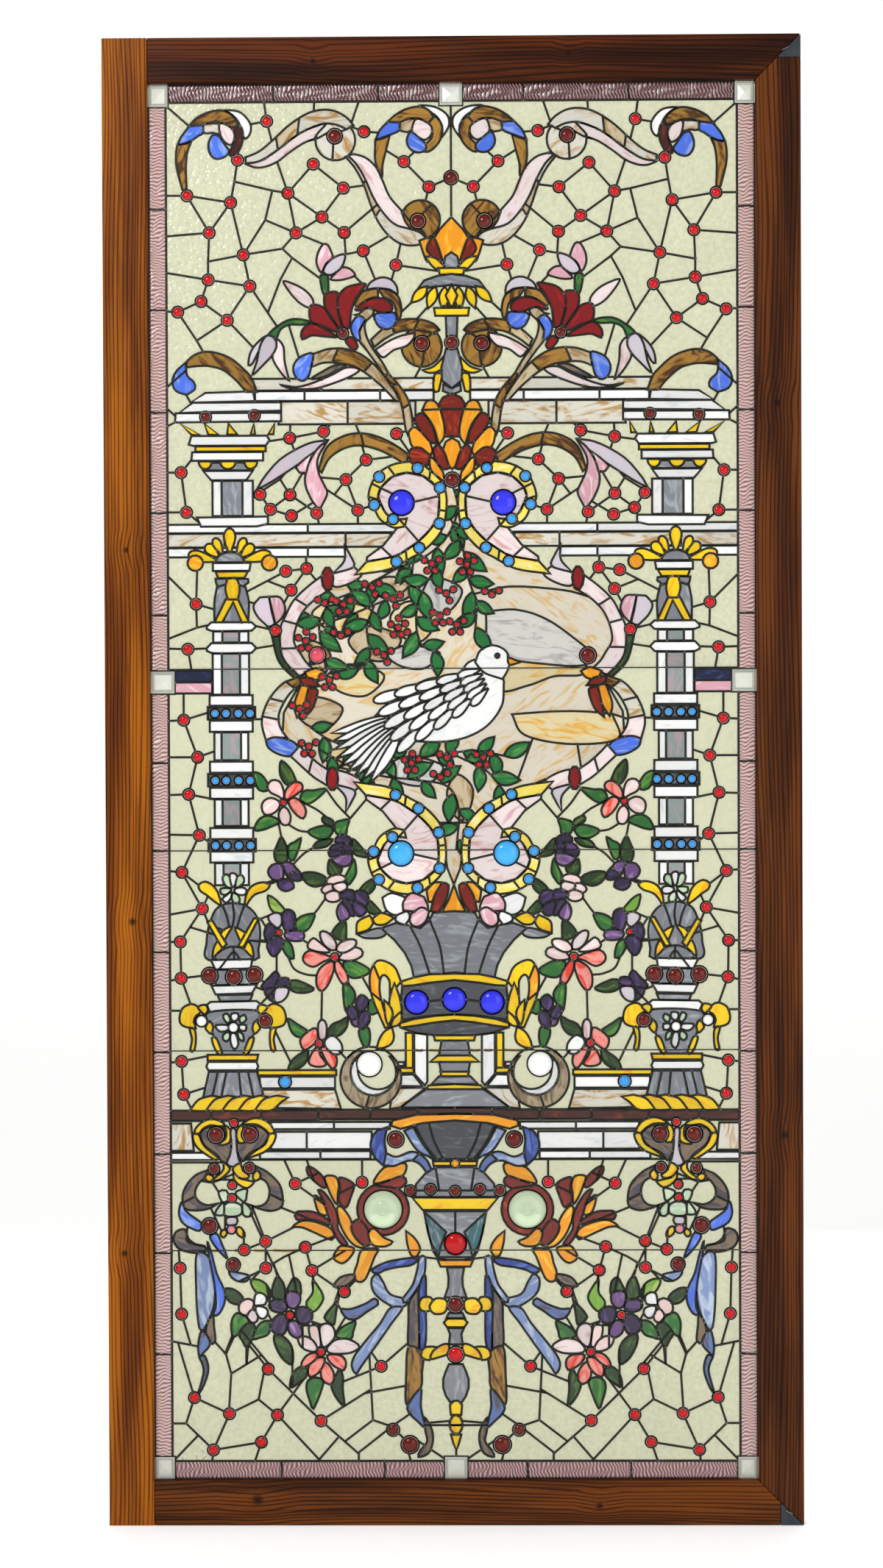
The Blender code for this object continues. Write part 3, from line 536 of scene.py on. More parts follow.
def draw_lilies(d):
    """Ruby and white lilies with buds on both sides of the finial."""
    at = placed(-309.5, 1980.5, 0.2796, 0.282)
    d.patches(
        at,
        ("pink_white", (186, 246), (250, 264), (310, 300), (348, 348), (345, 384), (318, 388), (270, 360),
         (222, 308)),
        ("pink", (394, 200), (368, 150), (376, 92), (405, 46), (432, 52), (450, 92), (456, 122),
         (420, 152)),
        ("pink", (445, 236), (475, 200), (506, 172), (550, 180), (580, 215), (540, 232), (490, 242)),
        ("lilac", (404, 196), (425, 150), (470, 115), (524, 103), (512, 160), (480, 196), (440, 214)),
        ("green", (390, 215), (426, 214), (433, 262), (430, 306), (408, 320), (392, 270)),
        ("green", (104, 532), (150, 490), (220, 454), (290, 454), (336, 470), (290, 482), (220, 482),
         (170, 506), (146, 556), (122, 546)),
        ("lilac", (82, 545), (30, 590), (0, 640), (-8, 700), (14, 690), (40, 640), (66, 590)),
        ("pink_white", (150, 560), (184, 600), (190, 680), (206, 750), (216, 786), (170, 742), (124, 662),
         (140, 610)),
        ("lilac", (85, 545), (112, 540), (140, 560), (146, 600), (120, 650), (66, 706), (14, 752),
         (38, 680), (55, 600)),
        ("ruby", (283, 522), (310, 486), (345, 475), (400, 500), (470, 540), (472, 552), (400, 546),
         (340, 541), (288, 562)),
        ("ruby", (335, 378), (400, 386), (440, 440), (482, 498), (472, 522), (400, 490), (334, 462)),
        ("ruby", (415, 316), (480, 306), (492, 345), (482, 400), (500, 470), (508, 502), (482, 492),
         (440, 430), (412, 386)),
        ("ruby", (487, 330), (520, 288), (572, 268), (637, 264), (590, 330), (560, 400), (550, 470),
         (544, 502), (514, 496), (492, 430), (482, 380)),
        ("ruby", (524, 568), (552, 550), (572, 562), (592, 602), (570, 622), (540, 596)))
    cap = ((636, 300), (662, 256), (720, 228), (776, 240), (808, 280), (812, 322))
    arch = ((632, 298), (662, 290), (704, 288), (760, 295), (812, 328), (832, 390), (828, 440), (816, 462))
    under = ((590, 398), (634, 355), (680, 336), (736, 336), (772, 350), (794, 376), (804, 420), (810, 440))
    d.pane("lilac", at(*cap), at((780, 300), (760, 292), (704, 286), (662, 290)))
    d.pane("brown", at((575, 370), (600, 330), (632, 298), (704, 288)), at((704, 336)),
           at((680, 336), (634, 355), (590, 398)), at((575, 372)))
    d.band("brown", at(*arch[2:]), at(*under[3:]))
    d.patch(
        "ruby",
        at((580, 402), (622, 362), (680, 340), (742, 345), (780, 378), (777, 412), (722, 420), (684, 404),
           (640, 392), (604, 406)))
    d.jewel("brown_jewel", 9, at((510, 531))[0])


def draw_volutes(d):
    """Rolled leaves that stand on the upper shelf, and the standard between them."""
    at = placed(-309.5, 1980.5, 0.2796, 0.282)
    d.band(
        "brown",
        ((-406, 1790), (-395, 1799), (-379, 1804), (-360, 1802), (-338, 1793), (-319, 1777), (-307, 1763),
         (-299, 1742)),
        ((-408, 1780), (-391, 1782), (-373, 1782), (-351, 1776), (-332, 1761), (-322, 1750), (-316, 1742)))
    drop = ((-408, 1788), (-423, 1774), (-429, 1758), (-423, 1744), (-407, 1738))
    d.pane("blue", drop, [(-394, 1747), (-396, 1758), (-406, 1768)])
    roll = ((664, 566), (720, 515), (790, 470), (870, 454), (950, 460), (1012, 484), (1040, 515))
    roll_under = ((682, 606), (740, 562), (810, 526), (880, 514), (950, 520), (985, 528), (1012, 536))
    d.disc("brown", -46, 1810, 31)
    d.band(("tan", "brown", "brown"), at(*roll), at(*roll_under), (0.35, 0.7))
    d.pane("pink_white", at((688, 620), (760, 575), (830, 545), (904, 530)),
           at((900, 556), (860, 600), (790, 622), (730, 662)))
    d.pane("yellow", at((944, 732), (1008, 712), (1068, 652), (1098, 626)),
           at((1086, 682), (1040, 735), (984, 748)))
    d.links(at((985, 545), (1035, 512)))
    d.came(*at((955, 630), (946, 692), (930, 726)))
    d.patch(
        "blue",
        at((682, 440), (702, 420), (744, 420), (792, 420), (806, 450), (792, 490), (750, 511), (710, 496),
           (690, 466)))
    stem_left = ((572, 430), (600, 425), (632, 398), (668, 396), (682, 414))
    stem = ((682, 414), (668, 438), (640, 462), (630, 492), (641, 550), (672, 612), (722, 682), (762, 752))
    stem_back = ((735, 756), (690, 690), (640, 622), (600, 570), (602, 520), (620, 482), (634, 456),
                 (600, 440))
    d.pane("tan", at(*stem_left), at(*stem[1:]), at(*stem_back))
    d.patch(
        "blue",
        at((590, 440), (568, 460), (554, 500), (568, 545), (594, 570), (606, 558), (600, 520), (620, 482),
           (632, 458), (614, 438)))
    d.patch(
        "pink_white",
        at((165, 805), (250, 820), (340, 800), (450, 755), (530, 716), (600, 726), (560, 760), (460, 800),
           (360, 828), (260, 832), (200, 822)))
    d.patch("brown_grey", at((336, 776), (400, 735), (470, 702), (528, 704), (470, 735), (400, 768)))
    leaf_top = ((350, 640), (430, 615), (520, 614), (600, 640), (670, 690), (735, 760), (790, 840),
                (830, 900))
    leaf_low = ((338, 712), (400, 690), (470, 690), (560, 706), (640, 750), (720, 816), (770, 868),
                (800, 900))
    d.band(("tan", "brown", "tan"), at(*leaf_top), at(*leaf_low), (0.22, 0.55))
    d.band(("brown", "brown", "tan"),
           at((762, 752), (830, 830), (870, 900), (887, 980), (892, 1040), (895, 1092)),
           at((738, 757), (795, 840), (830, 920), (842, 980), (852, 1050), (868, 1092)), (0.2, 0.55))
    d.patch(
        "blue",
        at((347, 640), (300, 645), (260, 670), (238, 710), (242, 750), (265, 780), (296, 786), (322, 760),
           (336, 712)))
    d.jewel("brown_jewel", 12, (-46, 1815))
    d.jewel("brown_jewel", 11, (0, 1816), (0, 2068))
    d.pane("yellow", [(-14, 1768), (-20, 1742)], [(-28, 1742), (-26, 1768)])
    d.across("grey", (0, 1806), (-9, 1806), (-16, 1778), (-15, 1758), (0, 1746))
    d.across("grey", (0, 1746), (-13, 1752), (-14, 1742), (0, 1736))


def draw_shelf(d):
    """Moulded courses across the window above the medallion, and the ledge below them."""
    d.row("opal", (-305, -200, -28), 1744, 1762)
    d.row("white", (-302, -226, -110, -28), 1728, 1743)
    d.row("opal", (-266, -160, -56), 1692, 1727)
    d.poly("white", (-400, 1727), (-378, 1741), (-305, 1743), (-302, 1728))
    d.poly("white", (-418, 1711), (-398, 1726), (-262, 1726), (-262, 1713))
    d.poly("white", (-425, 1696), (-424, 1710), (-262, 1710), (-262, 1697))
    d.links(((-437, 1750), (-429, 1757)), ((-407, 1737), (-402, 1728)), ((-437, 1717), (-427, 1708)),
            ((-437, 1690), (-425, 1696)), ((-298, 1664), (-249, 1671), (-197, 1681), (-186, 1692)),
            ((-249, 1671), (-242, 1652)), ((-249, 1671), (-248, 1690)), ((-148, 1692), (-143, 1680)),
            ((-197, 1681), (-195, 1665)), ((-85, 1677), (-66, 1682)), ((-85, 1677), (-70, 1655)),
            ((-412, 1641), (-416, 1619), (-437, 1619)),
            ((-402, 1636), (-416, 1619), (-408, 1558), (-437, 1558)), ((-408, 1558), (-392, 1545)),
            ((-295, 1585), (-279, 1562), (-247, 1552), (-222, 1567)),
            ((-279, 1562), (-249, 1584), (-208, 1556), (-205, 1540)),
            ((-249, 1584), (-264, 1608), (-272, 1603)), ((-249, 1584), (-230, 1617), (-242, 1627)),
            ((-230, 1617), (-222, 1617)), ((-264, 1608), (-250, 1625)), ((-163, 1607), (-196, 1610)),
            ((-163, 1607), (-180, 1585)),
            ((-190, 1590), (-145, 1560), (-163, 1607), (-132, 1637), (-137, 1655)),
            ((-132, 1637), (-90, 1642)), ((-145, 1560), (-145, 1540)), ((-145, 1560), (-120, 1568)))
    d.jewel("ruby", 9, (-249, 1671), (-197, 1681), (-85, 1677), (-132, 1637), (-163, 1607), (-145, 1560),
            (-295, 1585), (-279, 1562), (-249, 1584), (-247, 1552), (-208, 1556), (-416, 1619),
            (-408, 1558))
    d.row("white", (-437, -222, -85), 1526, 1539)
    d.row("opal", (-437, -350, -164, -95), 1504, 1525)
    d.row("white", (-437, -380, -222, -163), 1489, 1503)


def draw_capital(d):
    """The crowned head of the side column, down to the palmette."""
    d.poly("white", (-392, 1550), (-386, 1536), (-300, 1536), (-283, 1540), (-283, 1551))
    for left in (-368, -322):
        d.block("white", left, left + 16, 1552, 1606)
    d.block("grey", -354, -322, 1552, 1606)
    d.poly("white", (-382, 1621), (-370, 1607), (-316, 1607), (-306, 1621))
    d.poly("grey", (-388, 1634), (-382, 1622), (-306, 1622), (-300, 1634))
    for middle, reach in ((-379, 10), (-344, 12), (-309, 10)):
        d.outline("yellow", arc(middle, 1636, reach, 12, 180, 360))
    d.poly("white", (-400, 1637), (-399, 1650), (-290, 1650), (-290, 1637))
    d.block("yellow", -394, -286, 1651, 1659)
    d.poly("white", (-404, 1662), (-400, 1675), (-284, 1675), (-280, 1668), (-286, 1660), (-398, 1660))
    teeth = ((-416, -400, -387), (-384, -374, -358), (-358, -343, -329), (-325, -308, -302),
             (-298, -284, -274))
    tips = (-417, -380, -343, -304, -272)
    for (left, low, right), tip in zip(teeth, tips):
        d.poly("yellow", (tip, 1694), (min(left + 16, tip - 2) if tip > -350 else low, 1677), (right, 1677))
    d.jewel("brown_jewel", 9, (-378, 1704), (-303, 1706))
    d.outline("grey", arc(-342, 1481, 23, 17, 0, 180))
    fan = ((170, 64, 17), (146, 44, 16), (124, 42, 13), (56, 42, 13), (34, 44, 16), (10, 64, 17),
           (90, 50, 18))
    for turn, reach, width in fan:
        t = math.radians(turn)
        base = (-342 + 20 * math.cos(t), 1481 + 14 * math.sin(t))
        tip = (-342 + reach * math.cos(t), 1483 + reach * math.sin(t))
        d.petal("yellow", base, tip, width)
    d.outline("grey", arc(-342, 1481, 22, 16, 0, 180))
    d.disc("amber", -395, 1480, 12)
    d.disc("amber", -281, 1480, 12)


def draw_shaft(d):
    """Jewelled courses of the side column, from the palmette down to the flower."""
    d.poly("white", (-368, 1480), (-368, 1468), (-312, 1468), (-310, 1480))
    d.poly("yellow", (-364, 1467), (-360, 1457), (-320, 1457), (-314, 1467))
    d.pane("grey", [(-364, 1456), (-362, 1446), (-352, 1442), (-342, 1446)],
           [(-330, 1441), (-320, 1445), (-314, 1455)])
    d.pane("grey", [(-362, 1443), (-366, 1420), (-366, 1389)], [(-314, 1389)], [(-313, 1420), (-318, 1443)],
           [(-340, 1449)])
    d.poly("yellow", (-348, 1425), (-366, 1389), (-354, 1389), (-337, 1420), (-324, 1389), (-313, 1389),
           (-330, 1425))
    d.pane("yellow", [(-346, 1456), (-349, 1440), (-345, 1424)], [(-330, 1424)],
           [(-327, 1440), (-332, 1456)])
    collar = ((1376, 1389, 38, "white"), (1342, 1357, 38, "white"))
    for low, high, reach, kind in collar:
        d.pane(kind, [(-340 - reach, (low + high) / 2), (-340 - reach + 7, high)],
               [(-340 + reach - 7, high)], [(-340 + reach, (low + high) / 2)], [(-340 + reach - 7, low)],
               [(-340 - reach + 7, low)])
    for low, high, half, wing in ((1358, 1375, 13, 27), (1278, 1341, 14, 28), (1177, 1220, 15, 26),
                                  (1076, 1117, 14, 26), (985, 1019, 13, 26)):
        d.row(("white", "shaft_grey", "white"), (-341 - wing, -341 - half, -341 + half, -341 + wing), low,
              high)
    for low, high, reach in ((1261, 1277, 33), (1221, 1238, 33), (1158, 1175, 33), (1118, 1135, 33),
                             (1056, 1073, 33), (1020, 1037, 33)):
        d.block("white", -341 - reach, -341 + reach, low, high)
    for low in (1240, 1137, 1037):
        d.block("dark_grey", -377, -304, low, low + 19)
        d.jewel("sky", 7, *((x, low + 9) for x in (-366, -349, -330, -312)))


def draw_ribbon_side(d):
    """The lilac bud and the curved leaf beside the column, and the red jewels round them."""
    d.links(((-437, 1460), (-394, 1417), (-363, 1408)), ((-394, 1417), (-392, 1472)),
            ((-394, 1417), (-393, 1381)), ((-437, 1364), (-393, 1381), (-375, 1385)),
            ((-437, 1349), (-407, 1348), (-378, 1349)), ((-407, 1348), (-402, 1318)),
            ((-302, 1383), (-272, 1376)), ((-302, 1349), (-276, 1353)),
            ((-312, 1438), (-256, 1467), (-224, 1471), (-225, 1489)),
            ((-281, 1451), (-248, 1438), (-224, 1471)), ((-224, 1471), (-212, 1456)),
            ((-248, 1438), (-254, 1427)), ((-312, 1420), (-305, 1418)), ((-316, 1240), (-300, 1240)))
    d.jewel("ruby", 9, (-256, 1467), (-224, 1471), (-248, 1438), (-394, 1417), (-407, 1348), (-272, 1376))
    d.pane("lilac", [(-284, 1382), (-300, 1398), (-306, 1414), (-296, 1427)], [(-282, 1428)],
           [(-278, 1405), (-274, 1386)])
    d.pane("pink", [(-282, 1428), (-265, 1427), (-257, 1410), (-262, 1396), (-272, 1386)], [(-278, 1410)])
    d.pane("dark_green", [(-278, 1368), (-268, 1330), (-246, 1305), (-222, 1290)],
           [(-226, 1300), (-254, 1326), (-262, 1366)])
    d.band(
        "brown",
        ((-205, 1622), (-196, 1650), (-182, 1666), (-155, 1677), (-125, 1676), (-95, 1664), (-66, 1645)),
        ((-200, 1618), (-188, 1640), (-165, 1655), (-140, 1659), (-112, 1652), (-88, 1640), (-72, 1630)),
        (0.55,))
    d.pane("lilac", [(-190, 1668), (-222, 1662), (-262, 1640), (-288, 1612), (-300, 1592)],
           [(-276, 1605), (-240, 1628), (-205, 1650)])
    d.pane("pink", [(-190, 1668), (-206, 1640), (-205, 1618), (-196, 1598), (-192, 1585), (-204, 1560)],
           [(-218, 1580), (-226, 1605), (-220, 1632), (-206, 1655)])
    d.pane("pink", [(-240, 1627), (-225, 1640), (-212, 1650)], [(-220, 1632), (-224, 1618)], [(-234, 1618)])


def draw_volute(d, x, z, up, jewel):
    """A great scroll of the medallion, with its yellow beaded band; up is 1 above and -1 below."""
    def at(*points):
        """The places of some points, measured from the middle of the scroll."""
        return [Vector((x + px, z + pz * up)) for px, pz in points]
    outer = at((-72, -110), (-20, -102), (15, -84), (33, -74), (52, -56), (63, -39), (68, -18), (69, 9),
               (63, 30), (48, 46), (25, 62), (-4, 61), (-25, 53), (-40, 40), (-49, 20), (-50, 5))
    inner = at((-54, -90), (-15, -83), (-2, -78), (25, -60), (44, -41), (56, -22), (58, 5), (54, 24),
               (33, 41), (8, 46), (-14, 40), (-31, 24), (-36, 10), (-32, 0))
    d.outline("pink_white", inner + at((-20, -26), (0, -25), (6, -28), (-5, -36), (-28, -65), (-53, -83)))
    d.band("pale_yellow", outer + at((-42, -8), (-32, -26), (-12, -38), (5, -36)),
           inner + at((-28, -10), (-20, -20), (-8, -26), (8, -24)), (0.18, 0.4, 0.55, 0.7, 0.83, 0.93))
    d.links(at((18, 1), (57, 10)), at((5, -35), (26, -59)), at((-32, -67), (-14, -84)),
            at((-16, 15), (-34, 24)))
    d.jewel(jewel, 19.5, (x, z))
    d.jewel(
        "sky",
        8.5,
        *((p.x, p.y) for p in at((-34, 40), (25, 53), (59, 23), (58, -32), (27, -69), (-8, -90),
                                 (-42, -3), (-13, -25))))


def draw_palm(d):
    """Amber and red petals that fan out between the two upper volutes."""
    d.across("red_brown", (0, 1738), (-14, 1732), (-20, 1722), (-11, 1672), (0, 1672))
    d.came((-20, 1714), (20, 1714))
    d.pane("amber", [(-46, 1712), (-38, 1727), (-26, 1726), (-18, 1714)],
           [(-12, 1690), (-12, 1672), (-20, 1660)], [(-30, 1690)])
    d.came((-45, 1713), (-18, 1714))
    d.pane("red_brown", [(-58, 1700), (-50, 1708), (-40, 1704), (-27, 1680), (-24, 1662)],
           [(-34, 1664), (-52, 1686)])
    d.pane("amber", [(-67, 1678), (-60, 1687), (-50, 1682), (-34, 1664)], [(-30, 1650), (-34, 1644)],
           [(-60, 1656)])
    d.pane("red_brown", [(-68, 1646), (-62, 1654), (-48, 1655), (-33, 1643)], [(-38, 1628)], [(-60, 1630)])
    d.across("amber", (0, 1670), (-10, 1664), (-15, 1650), (-10, 1632), (0, 1622))
    d.pane("red_brown", [(-30, 1652), (-22, 1660), (-12, 1648), (-4, 1624)], [(-14, 1622), (-26, 1636)])
    d.pane("amber", [(-35, 1640), (-28, 1638), (-14, 1618)], [(-12, 1606), (-14, 1604)], [(-32, 1620)])
    d.jewel("brown_jewel", 12, (0, 1606))


def draw_medallion_frame(d):
    """The pale band that joins the volutes on each side, with its curls and ovals."""
    d.band(
        "pink_white",
        ((-199, 1461), (-224, 1442), (-245, 1421), (-258, 1396), (-265, 1378), (-264, 1344), (-255, 1325),
         (-236, 1306)),
        ((-186, 1440), (-211, 1424), (-230, 1405), (-241, 1381), (-244, 1359), (-236, 1344), (-226, 1328),
         (-214, 1316)),
        (0.3, 0.5, 0.72))
    d.band(
        ("brown", "opal", "opal", "pink_white"),
        ((-225, 1311), (-239, 1304), (-261, 1295), (-279, 1276), (-290, 1255), (-294, 1233), (-288, 1208)),
        ((-215, 1300), (-235, 1292), (-250, 1280), (-262, 1262), (-268, 1245), (-266, 1228), (-256, 1212)),
        (0.25, 0.5, 0.75))
    d.pane("blue", [(-288, 1208), (-284, 1196), (-268, 1186), (-250, 1183), (-236, 1192)],
           [(-244, 1204), (-262, 1211), (-276, 1212)])
    d.band("pink_white", ((-250, 1183), (-236, 1170), (-215, 1151), (-193, 1137)),
           ((-236, 1199), (-224, 1186), (-208, 1172), (-190, 1160)), (0.5,))
    d.pane("amber", [(-228, 1312), (-210, 1318), (-196, 1312)], [(-204, 1302), (-220, 1300)])
    d.pane("red_brown", [(-236, 1304), (-216, 1302), (-204, 1290)], [(-216, 1290), (-230, 1292)])
    d.pane("amber", [(-234, 1292), (-244, 1262), (-240, 1242)], [(-228, 1262), (-222, 1288)])
    d.pane("red_brown", [(-222, 1288), (-228, 1262), (-232, 1240)], [(-216, 1256), (-208, 1284)])
    for z, low in ((1455, 1), (1148, -1)):
        d.pane("pink_white", [(-186, z + 6 * low), (-165, z + 20 * low), (-150, z + 17 * low)],
               [(-140, z + 5 * low), (-160, z - 8 * low), (-182, z - 12 * low)])
        d.pane("lilac", [(-184, z + 8 * low), (-166, z + 28 * low), (-166, z + 52 * low)],
               [(-156, z + 34 * low), (-152, z + 18 * low)])
        d.disc("ruby", -192 if low > 0 else -186, z, 9, 18)


def draw_column_foot(d):
    """The white flower, bulb, jewelled waist, vase and fluted foot of the side column."""
    x = -342
    at = placed(-518.5, 1083.2, 0.394, 0.395)
    d.patches(
        at,
        ("yellow", (320, 247), (345, 234), (374, 248), (394, 275), (407, 324), (384, 314), (350, 286),
         (326, 270)),
        ("yellow", (501, 338), (502, 300), (518, 262), (545, 243), (580, 238), (598, 252), (578, 272),
         (540, 285), (515, 312)),
        ("pale_green", (414, 216), (431, 206), (449, 234), (450, 258), (432, 256), (418, 240)),
        ("white", (442, 206), (458, 202), (470, 214), (463, 248), (452, 256), (444, 235)),
        ("pale_green", (472, 214), (492, 212), (498, 234), (482, 252), (463, 258)),
        ("white", (463, 262), (490, 257), (507, 268), (500, 286), (476, 286), (460, 275)),
        ("pale_green", (454, 278), (475, 289), (480, 312), (462, 322), (449, 302)),
        ("white", (428, 288), (447, 274), (447, 296), (428, 318), (412, 302)),
        ("pale_green", (406, 262), (440, 260), (447, 268), (428, 285), (408, 282)),
        ("grey", (358, 540), (350, 470), (356, 420), (366, 385), (385, 345), (412, 326), (450, 318),
         (496, 325), (530, 348), (552, 385), (560, 440), (552, 500), (538, 540)))
    d.curves(at, ((412, 326), (428, 365), (438, 408)), ((452, 320), (458, 365), (452, 408)),
             ((498, 327), (482, 370), (470, 410)), ((392, 415), (420, 425)), ((352, 432), (378, 440)))
    d.patches(
        at,
        ("yellow", (404, 442), (420, 420), (450, 410), (432, 440), (416, 468)),
        ("yellow", (462, 414), (486, 424), (504, 442), (486, 470), (470, 440)),
        ("yellow", (374, 536), (378, 492), (400, 460), (414, 490), (394, 512)),
        ("yellow", (496, 500), (512, 468), (528, 490), (532, 530), (510, 516)),
        ("grey", (386, 538), (400, 508), (430, 492), (455, 488), (490, 495), (512, 515), (524, 540)))
    d.curves(at, ((428, 538), (456, 508), (480, 538)), ((456, 508), (455, 490)))
    d.poly("yellow", *at((353, 392), (371, 383), (428, 478), (411, 494)))
    d.poly("yellow", *at((535, 378), (554, 378), (494, 490), (472, 488)))
    d.poly("white", *at((366, 540), (528, 537), (522, 573), (384, 577)))
    d.poly("grey", *at((388, 578), (520, 578), (528, 606), (520, 636), (386, 638), (380, 606)))
    d.poly("white", *at((368, 640), (546, 636), (526, 670), (384, 674)))
    d.poly("grey", *at((392, 677), (528, 675), (518, 700), (402, 702)))
    d.poly("white", *at((350, 715), (364, 703), (544, 700), (560, 713), (550, 735), (362, 744)))
    d.jewel("brown_jewel", 13, (-376, 846), (-339, 844), (-307, 847))
    d.patches(
        at,
        ("grey", (356, 744), (550, 738), (538, 790), (530, 835), (505, 908), (408, 908), (384, 860),
         (366, 805)))
    for spots in (at, placed(-163.5, 1083.2, -0.394, 0.395)):
        d.patches(
            spots,
            ("yellow", (242, 768), (254, 728), (288, 711), (312, 720), (328, 742), (308, 756), (298, 780),
             (306, 806), (272, 802), (250, 792)),
            ("yellow", (314, 722), (344, 714), (354, 734), (342, 752), (326, 740)),
            ("yellow", (344, 802), (360, 778), (374, 800), (366, 828), (350, 816)),
            ("yellow", (282, 806), (302, 811), (306, 850), (300, 892), (284, 892), (291, 850)),
            ("yellow", (368, 845), (386, 845), (408, 902), (396, 908), (380, 886)))
    d.patches(
        at,
        ("pale_green", (413, 756), (430, 749), (442, 775), (430, 786), (418, 774)),
        ("white", (446, 750), (470, 748), (472, 768), (456, 780), (444, 768)),
        ("pale_green", (476, 766), (496, 754), (503, 772), (484, 788)),
        ("white", (476, 794), (502, 794), (500, 816), (478, 813)),
        ("pale_green", (470, 820), (490, 830), (492, 856), (474, 846)),
        ("white", (443, 828), (462, 828), (472, 870), (455, 888), (442, 862)),
        ("pale_green", (413, 832), (434, 820), (440, 842), (426, 857), (413, 850)),
        ("white", (386, 794), (430, 794), (433, 812), (406, 820), (388, 809)))
    d.jewel("white", 8, at((453, 803))[0])
    d.jewel("white", 9, (-389, 776))
    d.jewel("brown_jewel", 11, (-291, 776))
    d.poly("yellow", (x - 38, 724), (x - 38, 715), (x + 38, 715), (x + 40, 724))
    d.poly("white", (x - 37, 713), (x - 40, 706), (x - 37, 700), (x + 37, 700), (x + 40, 706),
           (x + 37, 713))
    flare = (-36, -22, -9, 10, 24, 38)
    foot = (-46, -32, -18, 14, 33, 49)
    for k in range(5):
        d.poly("grey", (x + flare[k], 698), (x + flare[k + 1], 698), (x + foot[k + 1], 655),
               (x + foot[k], 655))
    for k in range(5):
        left = x - 66 + 25 * k
        d.pane("yellow", [(left, 638), (left + 14, 655), (left + 34, 661)], [(left + 52, 658)],
               [(left + 40, 650), (left + 26, 638)])


def draw_left_edge(d):
    """Red jewels in a chain down the outer edge of the ground."""
    chain = ((-407, 1348), (-414, 1239), (-393, 1182), (-407, 1125), (-391, 1062), (-418, 1005),
             (-387, 949), (-421, 898), (-420, 842), (-405, 800))
    d.links(((-414, 1279), (-414, 1239)), chain[1:], ((-437, 1238), (-414, 1239), (-378, 1250)),
            ((-437, 1182), (-393, 1182), (-370, 1190)), ((-437, 1124), (-407, 1125), (-367, 1117)),
            ((-437, 1063), (-391, 1062), (-374, 1050)), ((-437, 1007), (-418, 1005), (-392, 985)),
            ((-437, 940), (-387, 949)), ((-382, 960), (-387, 949), (-379, 930)), ((-437, 898), (-421, 898)),
            ((-437, 838), (-420, 842), (-376, 847)), ((-437, 792), (-420, 792)),
            ((-437, 712), (-420, 714), (-417, 663), (-405, 640)), ((-417, 663), (-388, 672)),
            ((-420, 714), (-380, 722)), ((-300, 985), (-284, 990)), ((-305, 930), (-290, 936)),
            ((-305, 900), (-290, 900)), ((-313, 847), (-296, 838)), ((-316, 832), (-300, 826)),
            ((-300, 800), (-288, 812)))
    d.jewel("ruby", 9, *chain[1:8], (-420, 842), (-420, 714), (-417, 663))


